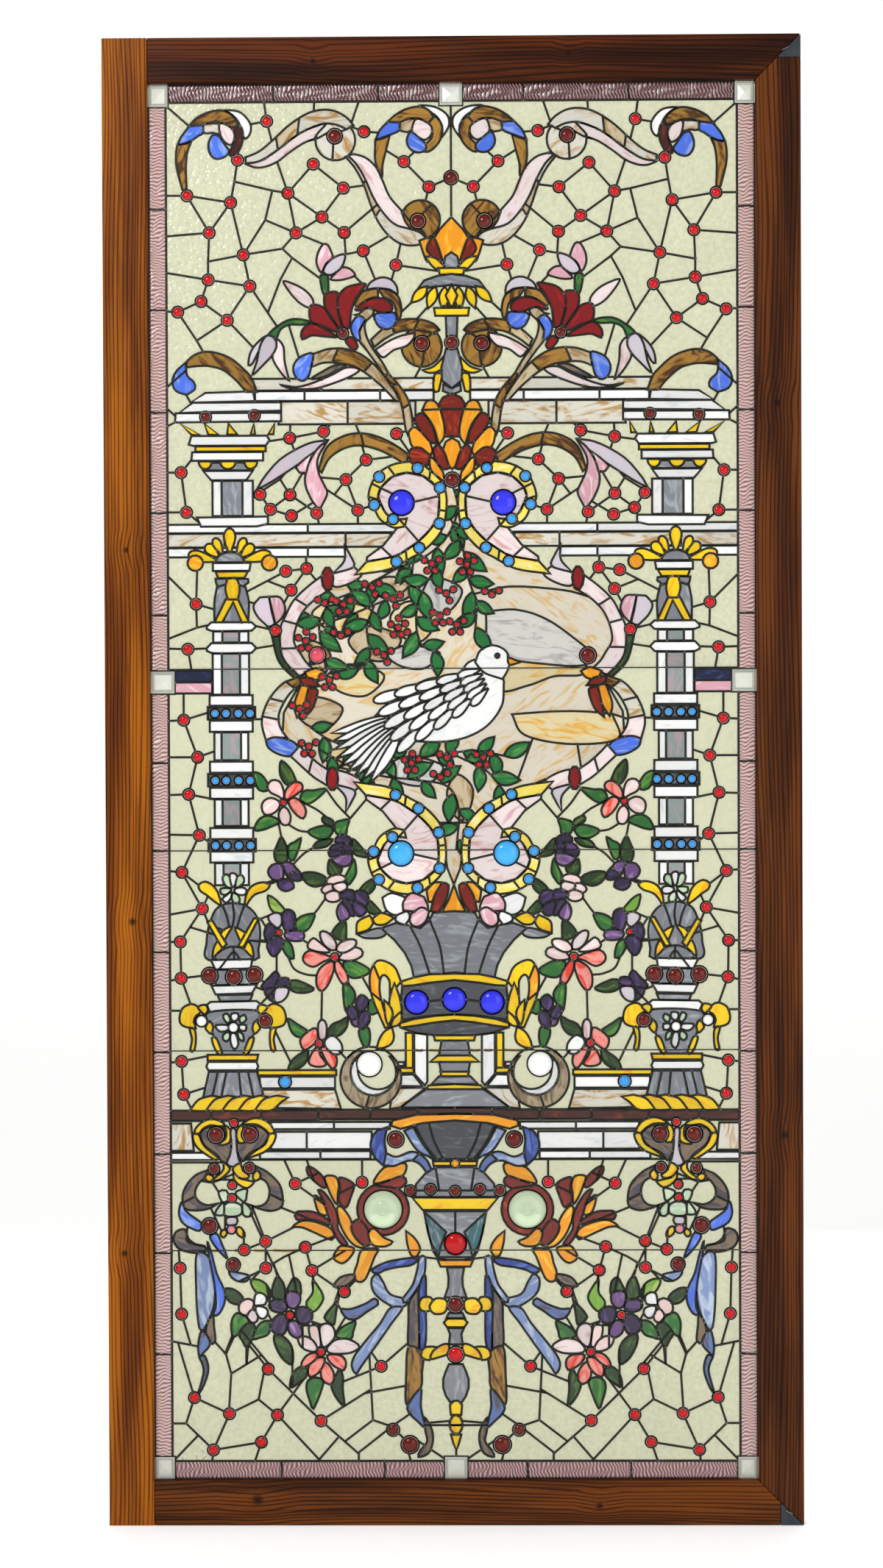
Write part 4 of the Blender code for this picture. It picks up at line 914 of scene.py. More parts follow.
def draw_garland(d):
    """Flowers and leaves that trail between the side column and the urn."""
    at = placed(-335.5, 1207, 0.372, 0.3755)
    d.curves(at, ((285, 256), (340, 285), (395, 330), (405, 350)), ((222, 345), (262, 368), (300, 374)),
             ((180, 345), (190, 395)), ((245, 500), (280, 465), (322, 438)), ((545, 475), (572, 480)),
             ((375, 198), (420, 262), (468, 312)), ((365, 655), (340, 690), (322, 712)),
             ((130, 592), (160, 580)), ((275, 815), (300, 832)), ((168, 880), (168, 945)),
             ((216, 885), (240, 935), (290, 958), (330, 962)), ((355, 1026), (352, 1145)),
             ((462, 985), (470, 1005)), ((60, 735), (100, 730), (122, 760)), ((100, 822), (122, 824)),
             ((188, 1245), (215, 1300)), ((470, 325), (500, 290)), ((520, 965), (545, 1010)),
             ((432, 1280), (450, 1300)), ((605, 716), (620, 700)), ((485, 400), (468, 390)),
             ((398, 792), (352, 786)))
    d.patches(
        at,
        ("dark_green", (192, 82), (225, 110), (246, 148), (250, 172), (215, 182), (190, 150), (184, 115)),
        ("green", (76, 130), (110, 140), (136, 180), (130, 206), (100, 202), (82, 172)),
        ("green", (285, 206), (322, 204), (376, 198), (342, 236), (300, 259), (268, 240)),
        ("green", (78, 366), (95, 325), (130, 307), (170, 318), (182, 336), (140, 356), (110, 366)),
        ("dark_green", (364, 311), (402, 326), (410, 352), (384, 348), (360, 332)),
        ("green", (300, 373), (345, 352), (386, 350), (404, 370), (380, 401), (340, 402)),
        ("green", (410, 340), (440, 327), (471, 324), (461, 360), (456, 386), (418, 382)),
        ("dark_green", (320, 437), (345, 410), (402, 404), (380, 432), (340, 441)),
        ("dark_green", (485, 404), (515, 430), (547, 476), (500, 471), (484, 450)),
        ("dark_green", (388, 488), (420, 514), (441, 525), (426, 549), (384, 546)),
        ("green", (490, 488), (499, 540), (482, 575), (464, 592), (454, 560), (470, 525)),
        ("dark_green", (190, 394), (210, 430), (216, 470), (206, 499), (170, 496), (160, 460), (175, 420)),
        ("green", (219, 430), (245, 415), (271, 399), (262, 442), (240, 490), (219, 480)),
        ("dark_green", (274, 545), (320, 539), (366, 555), (379, 580), (330, 599), (290, 581)),
        ("dark_green", (502, 631), (530, 590), (571, 567), (576, 600), (555, 626), (520, 641)),
        ("dark_green", (550, 655), (580, 680), (606, 716), (565, 711), (534, 690)),
        ("dark_green", (452, 738), (457, 790), (451, 821), (415, 811), (397, 790), (420, 755)),
        ("light_green", (134, 634), (165, 650), (201, 690), (201, 706), (165, 706), (145, 690), (135, 660)),
        ("green", (323, 709), (321, 735), (295, 776), (260, 781), (244, 750), (270, 720)),
        ("green", (191, 830), (206, 817), (231, 840), (239, 892), (215, 886), (195, 855)),
        ("green", (444, 910), (490, 904), (553, 940), (526, 966), (480, 973), (454, 950)),
        ("dark_green", (219, 990), (250, 981), (321, 1015), (290, 1033), (245, 1031), (221, 1015)),
        ("green", (444, 999), (471, 1004), (493, 1040), (480, 1082), (455, 1111), (444, 1060)),
        ("green", (550, 1064), (581, 1074), (581, 1116), (549, 1119)),
        ("green", (511, 1180), (546, 1177), (553, 1225), (538, 1270), (520, 1241), (507, 1205)),
        ("green", (214, 1139), (250, 1160), (302, 1195), (291, 1213), (250, 1213), (225, 1186)),
        ("dark_green", (461, 1134), (456, 1176), (430, 1206), (400, 1213), (374, 1206), (394, 1165),
         (430, 1149)),
        ("dark_green", (214, 1347), (235, 1304), (291, 1269), (296, 1291), (281, 1326), (240, 1349)),
        ("blush", (133, 186), (150, 163), (180, 165), (198, 195), (200, 238), (175, 226), (145, 211)),
        ("salmon", (203, 228), (214, 195), (245, 169), (273, 175), (279, 196), (260, 216), (215, 242)),
        ("salmon", (219, 247), (245, 234), (276, 255), (293, 290), (281, 319), (255, 306), (230, 276)),
        ("blush", (185, 330), (179, 300), (195, 272), (215, 279), (229, 310), (223, 341), (200, 346)),
        ("blush", (109, 270), (120, 245), (150, 234), (184, 252), (178, 280), (150, 301), (120, 301)),
        ("purple", (414, 401), (440, 384), (475, 399), (479, 421), (440, 420), (417, 427)),
        ("purple", (384, 460), (400, 430), (430, 421), (444, 433), (435, 468), (400, 482)),
        ("purple", (444, 424), (475, 424), (484, 455), (460, 466), (444, 450)),
        ("mauve", (399, 486), (430, 469), (455, 466), (481, 466), (479, 500), (450, 517), (420, 507)),
        ("mauve", (134, 535), (150, 509), (185, 504), (199, 522), (194, 566), (165, 572), (144, 560)),
        ("mauve", (190, 504), (220, 497), (246, 515), (236, 541), (210, 547), (199, 522)),
        ("purple", (210, 551), (240, 540), (247, 519), (270, 545), (271, 572), (240, 573)),
        ("purple", (174, 576), (200, 566), (230, 572), (241, 602), (205, 617), (179, 602)),
        ("blush", (374, 580), (390, 557), (430, 549), (457, 565), (440, 582), (400, 592)),
        ("blush", (354, 611), (375, 589), (408, 591), (400, 614), (370, 628)),
        ("blush", (402, 591), (450, 580), (461, 606), (430, 622), (408, 611)),
        ("blush", (370, 630), (400, 615), (426, 621), (431, 652), (400, 662), (374, 652)),
        ("purple", (429, 636), (450, 614), (485, 614), (496, 640), (480, 661), (455, 656)),
        ("purple", (494, 619), (535, 619), (551, 655), (530, 682), (499, 664)),
        ("purple", (434, 666), (460, 651), (480, 664), (499, 711), (470, 717)),
        ("purple", (481, 663), (510, 664), (541, 690), (526, 717), (497, 716)),
        ("mauve", (417, 701), (434, 666), (460, 690), (471, 721), (434, 741)),
        ("lilac", (134, 720), (165, 704), (189, 715), (189, 752), (170, 767), (144, 746)),
        ("purple", (190, 720), (210, 691), (241, 704), (247, 740), (241, 771), (204, 778)),
        ("mauve", (204, 786), (240, 778), (280, 785), (277, 817), (230, 820), (204, 806)),
        ("purple", (121, 770), (135, 749), (165, 768), (160, 802), (130, 822), (117, 795)),
        ("purple", (129, 830), (160, 804), (186, 804), (197, 830), (170, 877), (150, 882), (134, 860)),
        ("pink_white", (349, 785), (375, 784), (411, 820), (413, 858), (380, 852), (354, 820)),
        ("blush", (299, 830), (320, 809), (350, 829), (388, 862), (375, 868), (335, 864), (299, 850)),
        ("salmon", (277, 885), (300, 861), (345, 869), (394, 890), (360, 906), (320, 927), (284, 911)),
        ("salmon", (334, 960), (355, 925), (397, 904), (406, 930), (385, 992), (355, 1027), (334, 1007)),
        ("salmon", (409, 908), (425, 904), (456, 950), (463, 987), (440, 997), (411, 945)),
        ("blush", (428, 885), (470, 849), (516, 854), (522, 881), (480, 902), (434, 899)),
        ("blush", (414, 858), (430, 829), (470, 814), (497, 820), (491, 846), (445, 870)),
        ("purple", (104, 1006), (140, 966), (165, 944), (181, 975), (158, 1012), (120, 1021)),
        ("purple", (181, 974), (216, 974), (221, 1001), (180, 1010), (163, 1000)),
        ("purple", (119, 1021), (150, 1014), (159, 1045), (151, 1069), (124, 1046)),
        ("lilac", (160, 1019), (185, 1009), (217, 1015), (211, 1046), (185, 1070), (158, 1068)),
        ("purple", (494, 1070), (515, 1042), (541, 1055), (546, 1081), (520, 1111), (500, 1101)),
        ("purple", (457, 1100), (480, 1087), (502, 1115), (501, 1140), (470, 1142)),
        ("mauve", (474, 1151), (500, 1140), (511, 1166), (490, 1172)),
        ("purple", (505, 1140), (515, 1114), (546, 1109), (552, 1150), (525, 1182), (507, 1175)),
        ("pink_white", (339, 1160), (358, 1144), (373, 1165), (369, 1220), (343, 1222)),
        ("salmon", (264, 1226), (300, 1189), (331, 1179), (336, 1225), (310, 1252), (279, 1267)),
        ("salmon", (299, 1321), (315, 1274), (338, 1256), (347, 1290), (371, 1327), (335, 1337)),
        ("salmon", (348, 1260), (370, 1256), (411, 1290), (413, 1331), (395, 1344), (370, 1312)),
        ("white", (368, 1226), (400, 1209), (433, 1240), (436, 1276), (405, 1287), (368, 1254)))
    d.jewel("ruby", 5.6, at((198, 253))[0])
    d.jewel("ruby", 5.4, at((178, 786))[0])
    d.jewel("ruby", 6.6, at((408, 887))[0])
    d.jewel("ruby", 6.2, at((341, 1241))[0])


def draw_urn(d):
    """The great jewelled urn with its lilies, handles and stepped foot."""
    d.pane("white", [(-110, 965), (-96, 972), (-76, 966)], [(-70, 948)], [(-88, 938), (-104, 946)])
    d.pane("pink", [(-78, 945), (-78, 958), (-66, 972), (-46, 966)], [(-40, 948), (-58, 944)])
    d.pane("white", [(-88, 938), (-90, 930), (-76, 922)], [(-68, 934), (-72, 944)])
    d.pane("pink", [(-66, 940), (-50, 950), (-38, 944)], [(-44, 928), (-58, 920), (-68, 928)])
    d.pane("yellow", [(-150, 910), (-148, 928), (-130, 938)], [(-124, 928), (-132, 916)])
    d.pane("yellow", [(-126, 932), (-112, 942), (-92, 934)], [(-106, 924), (-120, 924)])
    d.pane("grey", [(-148, 908), (-118, 918), (-98, 916)], [(-112, 904), (-136, 903)])
    d.pane("amber", [(-42, 976), (-30, 988), (-18, 988)], [(-26, 966)], [(-38, 958)])
    d.pane("red_brown", [(-18, 988), (-8, 984), (-12, 962), (-24, 942)], [(-36, 944)], [(-30, 968)])
    d.across("amber", (0, 985), (-8, 962), (-20, 940), (-8, 930), (0, 928))
    d.across("grey", (0, 944), (-32, 942), (-38, 930), (-52, 918), (-68, 922), (-90, 926), (-112, 918),
             (-92, 900), (-76, 880), (-66, 860), (-62, 842), (0, 850))
    d.came((-68, 922), (-52, 890), (-38, 848))
    d.came((-38, 932), (-22, 890), (-16, 849))
    d.across("yellow", (0, 848), (-38, 847), (-63, 842), (-82, 836), (-80, 829), (-63, 830), (-38, 834),
             (0, 838))
    d.across("dark_grey", (0, 838), (-38, 834), (-63, 830), (-80, 829), (-83, 800), (-84, 776), (-60, 780),
             (-30, 784), (0, 785))
    d.links(((-40, 805), (-18, 808)))
    d.across("yellow", (0, 785), (-30, 783), (-63, 778), (-86, 771), (-83, 765), (-60, 768), (-30, 773),
             (0, 776))
    d.across("dark_grey", (0, 776), (-30, 773), (-60, 768), (-83, 765), (-60, 757), (-30, 753), (0, 753))
    d.band(
        ("yellow", "amber", "yellow"),
        ((-107, 765), (-125, 808), (-130, 833), (-128, 853), (-118, 868), (-103, 866), (-90, 856),
         (-82, 836)),
        ((-100, 765), (-112, 806), (-115, 826), (-113, 842), (-107, 846), (-100, 838), (-99, 824),
         (-100, 812)),
        (0.35, 0.62))
    d.leaf("yellow", (-84, 768), (-92, 834), 18, 3)
    d.leaf("yellow", (-102, 768), (-108, 808), 12, -4)
    d.leaf("yellow", (-98, 766), (-82, 790), 12, -3)
    d.leaf("yellow", (-96, 766), (-120, 732), 20, 4)
    d.across("yellow", (0, 753), (-32, 753), (-30, 745), (0, 745))
    d.across("grey", (0, 745), (-20, 745), (-24, 722), (0, 722))
    d.across("yellow", (0, 722), (-26, 722), (-38, 712), (0, 712))
    d.across("grey", (0, 712), (-24, 712), (-21, 697), (0, 697))
    d.across("yellow", (0, 697), (-22, 697), (-20, 690), (0, 690))
    d.across("grey", (0, 690), (-24, 690), (-36, 678), (0, 678))
    d.across("yellow", (0, 678), (-40, 676), (-45, 670), (0, 670))
    d.across("grey", (0, 670), (-44, 670), (-66, 655), (-84, 642), (0, 642))
    d.jewel("cobalt", 18.5, (-58, 804), (0, 808))
    d.jewel("sky", 10, (-261, 682))


def draw_ledge(d):
    """The lower ledge, its crescent and angle, and the dark bar beneath."""
    d.poly("white", (-300, 690), (-300, 672), (-184, 672), (-184, 690))
    d.poly("yellow", (-303, 700), (-303, 692), (-182, 692), (-182, 700))
    d.poly("opal", (-300, 670), (-286, 642), (-175, 640), (-184, 670))
    d.poly("opal", (-95, 672), (-100, 640), (-84, 642), (-46, 672))
    d.poly("white", (-92, 692), (-95, 675), (-50, 675), (-64, 693))
    d.block("yellow", -75, -64, 703, 757)
    d.poly("yellow", (-119, 703), (-119, 696), (-62, 695), (-64, 703))
    d.block("white", -114, -78, 706, 712)
    d.poly("white", (-62, 757), (-62, 694), (-46, 676), (-42, 682), (-42, 754))
    d.outline("field", arc(-129, 690, 46, 46, 0, 345, 22))
    d.band(("umber", "umber"), arc(-129, 688, 47, 47, 115, 405, 22), arc(-125, 696, 35, 35, 115, 405, 22),
           (0.5,))
    d.band("white", arc(-125, 696, 35, 35, 150, 370, 18), arc(-118, 701, 31, 31, 150, 370, 18), ())
    d.jewel("white", 19.5, (-131, 709))
    cuts = ((-437, -375), (-375, -298), (-298, -210), (-210, -130), (-130, -57))
    for left, right in cuts:
        d.block("dark_brown", left, right, 622 if right < -130 else 624, 638 if right < -130 else 639)
    d.across("dark_brown", (0, 642), (-57, 641), (-57, 630), (0, 633))


def draw_courses(d):
    """Rows of white blocks behind the lower standard."""
    d.row("white", (-283, -186, -100), 609, 620)
    d.row("white", (-283, -228, -128), 578, 605)
    d.row("white", (-300, -207, -130), 563, 575)
    d.poly("opal", (-437, 618), (-437, 576), (-402, 576), (-406, 618))
    d.poly("white", (-437, 573), (-437, 562), (-370, 562), (-380, 573))
    d.links(((-437, 558), (-380, 558)), ((-300, 562), (-130, 562)))


def draw_bracket(d):
    """The scrolled bracket under the side column, with its drop of flowers and its ribbons."""
    at = placed(-430.6, 667.8, 0.2842, 0.2843)
    d.band(
        ("brown_grey", "brown_grey"),
        at((172, 428), (110, 455), (60, 510), (38, 570), (50, 635), (110, 647), (180, 637), (245, 603)),
        at((164, 470), (135, 490), (110, 530), (108, 570), (130, 600), (170, 618), (215, 612)),
        (0.5,))
    d.band(
        ("brown_grey", "brown_grey"),
        at((440, 408), (500, 440), (560, 500), (580, 560), (576, 626), (520, 650), (450, 637), (368, 600)),
        at((440, 466), (490, 490), (510, 540), (500, 592), (470, 620), (430, 626)),
        (0.5,))
    d.patches(
        at,
        ("brown_grey", (135, 235), (150, 208), (200, 190), (262, 200), (300, 250), (300, 340), (278, 396),
         (254, 385), (225, 345), (165, 300), (142, 262)),
        ("brown_grey", (332, 290), (345, 220), (400, 190), (455, 192), (490, 215), (506, 245), (470, 300),
         (400, 340), (368, 380), (340, 340)),
        ("yellow", (104, 222), (120, 190), (160, 160), (205, 151), (250, 165), (270, 186), (235, 190),
         (190, 185), (150, 205), (128, 232)),
        ("yellow", (97, 232), (128, 235), (140, 265), (160, 300), (200, 335), (233, 362), (218, 372),
         (170, 345), (124, 310), (99, 270)),
        ("yellow", (270, 184), (300, 210), (304, 250), (290, 282), (250, 292), (234, 285), (270, 262),
         (278, 225)),
        ("yellow", (354, 186), (400, 154), (450, 147), (500, 165), (526, 195), (541, 232), (510, 230),
         (485, 206), (440, 181), (380, 181)),
        ("yellow", (510, 233), (546, 235), (530, 286), (490, 326), (430, 351), (384, 363), (440, 320),
         (490, 285)),
        ("yellow", (340, 200), (365, 184), (371, 220), (365, 250), (386, 275), (345, 281), (331, 240)),
        ("lilac", (300, 215), (315, 200), (330, 215), (332, 260), (335, 320), (346, 375), (356, 391),
         (320, 411), (279, 396), (295, 350), (304, 300)),
        ("yellow", (262, 384), (296, 420), (270, 456), (230, 483), (200, 481), (240, 450), (262, 420)),
        ("yellow", (159, 465), (180, 449), (206, 465), (200, 486), (175, 489)),
        ("yellow", (310, 425), (330, 399), (355, 394), (366, 430), (401, 460), (380, 476), (340, 466)),
        ("yellow", (314, 440), (345, 471), (400, 486), (426, 495), (390, 526), (350, 511), (319, 480)),
        ("yellow", (419, 460), (440, 429), (461, 450), (456, 476), (430, 486)),
        ("pale_green", (234, 545), (276, 539), (291, 580), (270, 601), (250, 596)),
        ("pale_green", (329, 545), (386, 529), (386, 560), (376, 601), (334, 571)),
        ("pale_green", (264, 620), (305, 600), (356, 620), (356, 666), (310, 681), (264, 671)),
        ("pale_green", (214, 661), (235, 625), (261, 604), (263, 660), (255, 673), (225, 673)),
        ("pale_green", (364, 604), (401, 630), (416, 666), (395, 681), (367, 671)),
        ("lilac", (277, 687), (331, 685), (329, 723), (279, 725)),
        ("yellow", (244, 766), (265, 749), (279, 770), (262, 793), (247, 786)),
        ("yellow", (334, 739), (355, 741), (374, 770), (371, 796), (345, 786), (329, 765)),
        ("blue", (37, 600), (50, 641), (80, 671), (140, 716), (130, 757), (90, 746), (40, 716), (19, 670),
         (24, 620)),
        ("brown_grey", (4, 760), (50, 749), (70, 800), (110, 830), (156, 840), (161, 871), (90, 876),
         (20, 856), (-9, 820), (-10, 790)))
    d.curves(at, ((210, 675), (226, 710), (245, 750)), ((268, 720), (268, 745)), ((200, 495), (230, 540)),
             ((160, 490), (200, 495), (232, 484)), ((276, 480), (300, 480)), ((376, 800), (370, 826)),
             ((416, 680), (465, 790)), ((404, 676), (416, 640)), ((62, 760), (62, 815), (110, 832)))
    at = placed(-441.6, 587.6, 0.3218, 0.3247)
    d.patches(
        at,
        ("blue", (186, 470), (210, 540), (230, 620), (266, 700), (266, 760), (240, 811), (214, 816),
         (226, 760), (215, 660), (200, 590)),
        ("pale_blue", (134, 529), (186, 534), (206, 600), (221, 700), (213, 780), (190, 841), (165, 887),
         (147, 881), (137, 820), (131, 700)),
        ("brown_grey", (189, 841), (211, 819), (216, 870), (221, 941), (195, 952), (175, 900)),
        ("steel_blue", (154, 894), (180, 910), (196, 956), (160, 1001), (144, 1012), (139, 960)),
        ("steel_blue", (144, 1016), (170, 1010), (187, 1060), (181, 1110), (155, 1172), (139, 1187),
         (155, 1130), (165, 1080), (155, 1040)),
        ("blue", (199, 441), (230, 429), (256, 480), (276, 530), (277, 547), (240, 511), (210, 471)),
        ("pale_blue", (289, 609), (330, 615), (387, 630), (371, 656), (330, 656), (300, 636)))
    d.jewel("brown_jewel", 13, (-367.5, 600.5), (-315.5, 601))
    d.jewel("brown_jewel", 9, (-371, 548), (-316.5, 549.5))
    d.jewel("ruby", 7, (-340, 619), (-343, 523), (-343.5, 503))
    d.jewel("pink", 7, (-344.5, 454.5))
    d.jewel("brown_jewel", 13, (-378, 460))
    d.jewel("brown_jewel", 11, (-342, 400))


def draw_cornucopia(d):
    """Red-brown and amber leaves that curl round the clear rondel."""
    at = placed(-441.6, 587.6, 0.3218, 0.3247)
    d.outline("red_brown", arc(-111, 485, 40, 40, 0, 350, 24))
    d.came((-135, 453), (-126, 446))
    d.patches(
        at,
        ("amber", (984, 192), (1010, 140), (1050, 110), (1135, 98), (1126, 152), (1060, 176)),
        ("red_brown", (998, 202), (1050, 181), (1120, 158), (1140, 186), (1110, 214), (1050, 210)),
        ("red_brown", (664, 114), (690, 117), (736, 155), (757, 200), (745, 214), (710, 191), (669, 150)),
        ("amber", (750, 159), (800, 159), (817, 200), (811, 240), (808, 292), (784, 260), (760, 205)),
        ("red_brown", (820, 164), (887, 194), (876, 250), (850, 307), (814, 276), (822, 220)),
        ("amber", (699, 250), (720, 259), (751, 300), (761, 341), (724, 336), (704, 290)),
        ("red_brown", (717, 224), (746, 234), (791, 300), (811, 360), (812, 410), (857, 482), (830, 482),
         (799, 440), (769, 360), (744, 280)),
        ("red_brown", (611, 329), (640, 324), (700, 329), (772, 370), (766, 390), (700, 366), (613, 363)),
        ("amber", (596, 396), (640, 369), (700, 374), (766, 399), (792, 430), (781, 460), (700, 426),
         (640, 401)),
        ("amber", (807, 310), (830, 304), (871, 360), (891, 430), (942, 492), (900, 492), (854, 450),
         (819, 380)),
        ("red_brown", (874, 400), (900, 364), (936, 385), (967, 440), (966, 482), (935, 487), (894, 450)),
        ("amber", (959, 420), (985, 407), (1030, 449), (1072, 470), (1040, 491), (980, 487), (959, 450)),
        ("amber", (804, 511), (825, 489), (887, 500), (871, 541), (830, 572), (788, 546)),
        ("amber", (904, 570), (925, 509), (1002, 504), (986, 541), (941, 647), (900, 657), (888, 620)))
    d.pane("amber", [(-76, 452), (-62, 440), (-54, 424), (-60, 412)], [(-68, 414), (-74, 432)])
    d.jewel("rondel", 30, (-111, 485))
    d.links(((-228, 561), (-225, 552)), ((-262, 560), (-246, 525), (-222, 536)), ((-143, 562), (-143, 527)),
            ((-246, 525), (-214, 502)), ((-265, 487), (-240, 477)), ((-308, 478), (-292, 436), (-248, 458)),
            ((-292, 436), (-292, 395)), ((-264, 412), (-231, 427), (-196, 440)), ((-292, 395), (-264, 412)),
            ((-231, 427), (-221, 391), (-186, 412)), ((-292, 436), (-325, 423)), ((-325, 423), (-326, 446)),
            ((-292, 395), (-318, 382)), ((-282, 403), (-272, 382)), ((-256, 414), (-249, 380)),
            ((-221, 391), (-182, 364)), ((-221, 391), (-218, 374)), ((-158, 520), (-150, 524)),
            ((-130, 391), (-120, 388)))
    d.jewel("ruby", 9, (-246, 525), (-143, 527), (-325, 423), (-292, 436), (-292, 395), (-231, 427),
            (-221, 391), (-171, 358))


def draw_torch(d):
    """The lower standard on the centre line, from its ribbed bowl to its tip."""
    d.pane("blue_dark", [(-104, 612), (-122, 604), (-130, 585), (-124, 566), (-110, 552)],
           [(-106, 572), (-108, 592)])
    d.band(("pale_blue", "steel_blue"),
           ((-106, 572), (-90, 566), (-66, 574), (-46, 564), (-36, 545), (-34, 528)),
           ((-110, 553), (-94, 552), (-72, 560), (-56, 556), (-44, 542), (-37, 528)), (0.5,))
    d.across("dark_grey", (0, 624), (-60, 618), (-74, 604), (-60, 580), (-34, 562), (0, 562))
    d.came((-62, 616), (-46, 585), (-28, 562))
    d.came((-40, 618), (-32, 590), (-18, 562))
    d.came((-76, 606), (-58, 578))
    d.pane("pale_blue", [(-78, 606), (-64, 612)], [(-52, 590), (-34, 564)], [(-58, 576)])
    d.across("amber", (0, 632), (-58, 631), (-96, 622), (-98, 614), (-84, 609), (-50, 618), (0, 622))
    d.jewel("brown_jewel", 13, (-91, 593))
    d.across("yellow", (0, 559), (-34, 559), (-33, 552), (0, 552))
    d.jewel("amber", 7, (0, 556))
    d.across("grey", (0, 550), (-30, 550), (-46, 540), (-60, 524), (-62, 504), (0, 504))
    d.came((-30, 550), (-26, 524))
    d.links(((-62, 514), (0, 514)))
    d.jewel("brown_jewel", 9, (-69, 514), (-38, 516), (0, 513))
    d.across("yellow", (0, 503), (-66, 503), (-50, 484), (0, 484))
    d.across("grey", (0, 482), (-48, 482), (-42, 450), (-34, 420), (-28, 411), (0, 411))
    d.pane("teal", [(-48, 480), (-40, 474), (-14, 450)], [(-22, 430), (-26, 412)], [(-38, 436)])
    d.came((0, 480), (0, 450))
    d.jewel("ruby_large", 17, (0, 432))
    at = placed(-123.8, 660.5, 0.3215, 0.3315)
    d.across("amber", *at((386, 765), (300, 765), (314, 796), (386, 796)))
    d.across("grey", *at((386, 800), (344, 800), (352, 850), (350, 890), (332, 940), (386, 940)))
    d.across("grey", *at((386, 1012), (352, 1012), (340, 1036), (386, 1036)))
    d.across("yellow", *at((386, 1038), (346, 1038), (328, 1056), (344, 1078), (386, 1078)))
    d.across("grey", *at((386, 1082), (346, 1082), (358, 1110), (352, 1158), (386, 1158)))
    d.across(
        "grey",
        *at((386, 1250), (352, 1250), (336, 1285), (324, 1320), (324, 1360), (338, 1400), (356, 1426),
            (386, 1426)))
    d.patches(
        at,
        ("yellow", (209, 975), (225, 941), (266, 939), (277, 965), (262, 1001), (224, 1001)),
        ("yellow", (262, 975), (290, 944), (336, 949), (346, 975), (330, 1011), (284, 1016), (264, 995)),
        ("yellow", (219, 1196), (240, 1171), (292, 1171), (270, 1200), (260, 1231), (224, 1221)),
        ("yellow", (264, 1226), (275, 1190), (320, 1159), (352, 1159), (346, 1201), (310, 1216)))
    d.across("yellow", *at((386, 1420), (372, 1422), (356, 1440), (360, 1486), (386, 1486)))
    d.disc("yellow", 0, 153, 10, 15)
    d.across("yellow", *at((386, 1578), (360, 1578), (372, 1620), (386, 1652)))
    d.jewel("brown_jewel", 13, (0, 338))
    d.jewel("ruby", 13, (0, 261))
    d.links(((0, 112), (0, 97)), ((-10, 152), (-40, 152)))


def draw_bow(d):
    """Blue ribbons tied on both sides of the lower standard."""
    at = placed(-441.6, 587.6, 0.3218, 0.3247)
    d.patches(
        at,
        ("blue_dark", (969, 606), (1010, 579), (1070, 559), (1165, 546), (1190, 556), (1160, 581),
         (1090, 591), (1030, 606), (1000, 621)),
        ("pale_blue", (974, 640), (1000, 624), (1026, 660), (1060, 719), (1150, 749), (1100, 787),
         (1040, 761), (989, 720), (971, 680)),
        ("steel_blue", (824, 790), (870, 789), (940, 764), (985, 739), (1002, 765), (950, 801), (895, 837),
         (849, 831)),
        ("pale_blue", (1060, 785), (1117, 785), (1070, 851), (1000, 951), (920, 1061), (895, 1097),
         (874, 1060), (889, 1010), (950, 930), (1010, 859)),
        ("brown_grey", (789, 681), (820, 639), (880, 624), (892, 640), (860, 671), (830, 682)))
    at = placed(-123.8, 660.5, 0.3215, 0.3315)
    d.patches(
        at,
        ("pale_blue", (240, 750), (236, 830), (200, 900), (150, 962), (132, 946), (180, 880), (204, 800),
         (212, 754)),
        ("brown_grey", (164, 960), (210, 900), (214, 960), (210, 1100), (206, 1196), (159, 1166),
         (159, 1050)),
        ("blue_dark", (210, 900), (241, 838), (243, 1000), (241, 1150), (216, 1202), (210, 1100)),
        ("brown", (159, 1170), (226, 1200), (223, 1290), (216, 1361), (149, 1437), (147, 1300)),
        ("steel_blue", (154, 1441), (216, 1364), (217, 1450), (236, 1542), (195, 1511), (164, 1481)),
        ("brown_grey", (237, 1500), (271, 1560), (272, 1620), (250, 1667), (204, 1682), (214, 1650),
         (246, 1610), (236, 1550)))
    d.jewel("brown_jewel", 10, (-97, 145))
    d.jewel("brown_jewel", 14, (-71, 122))


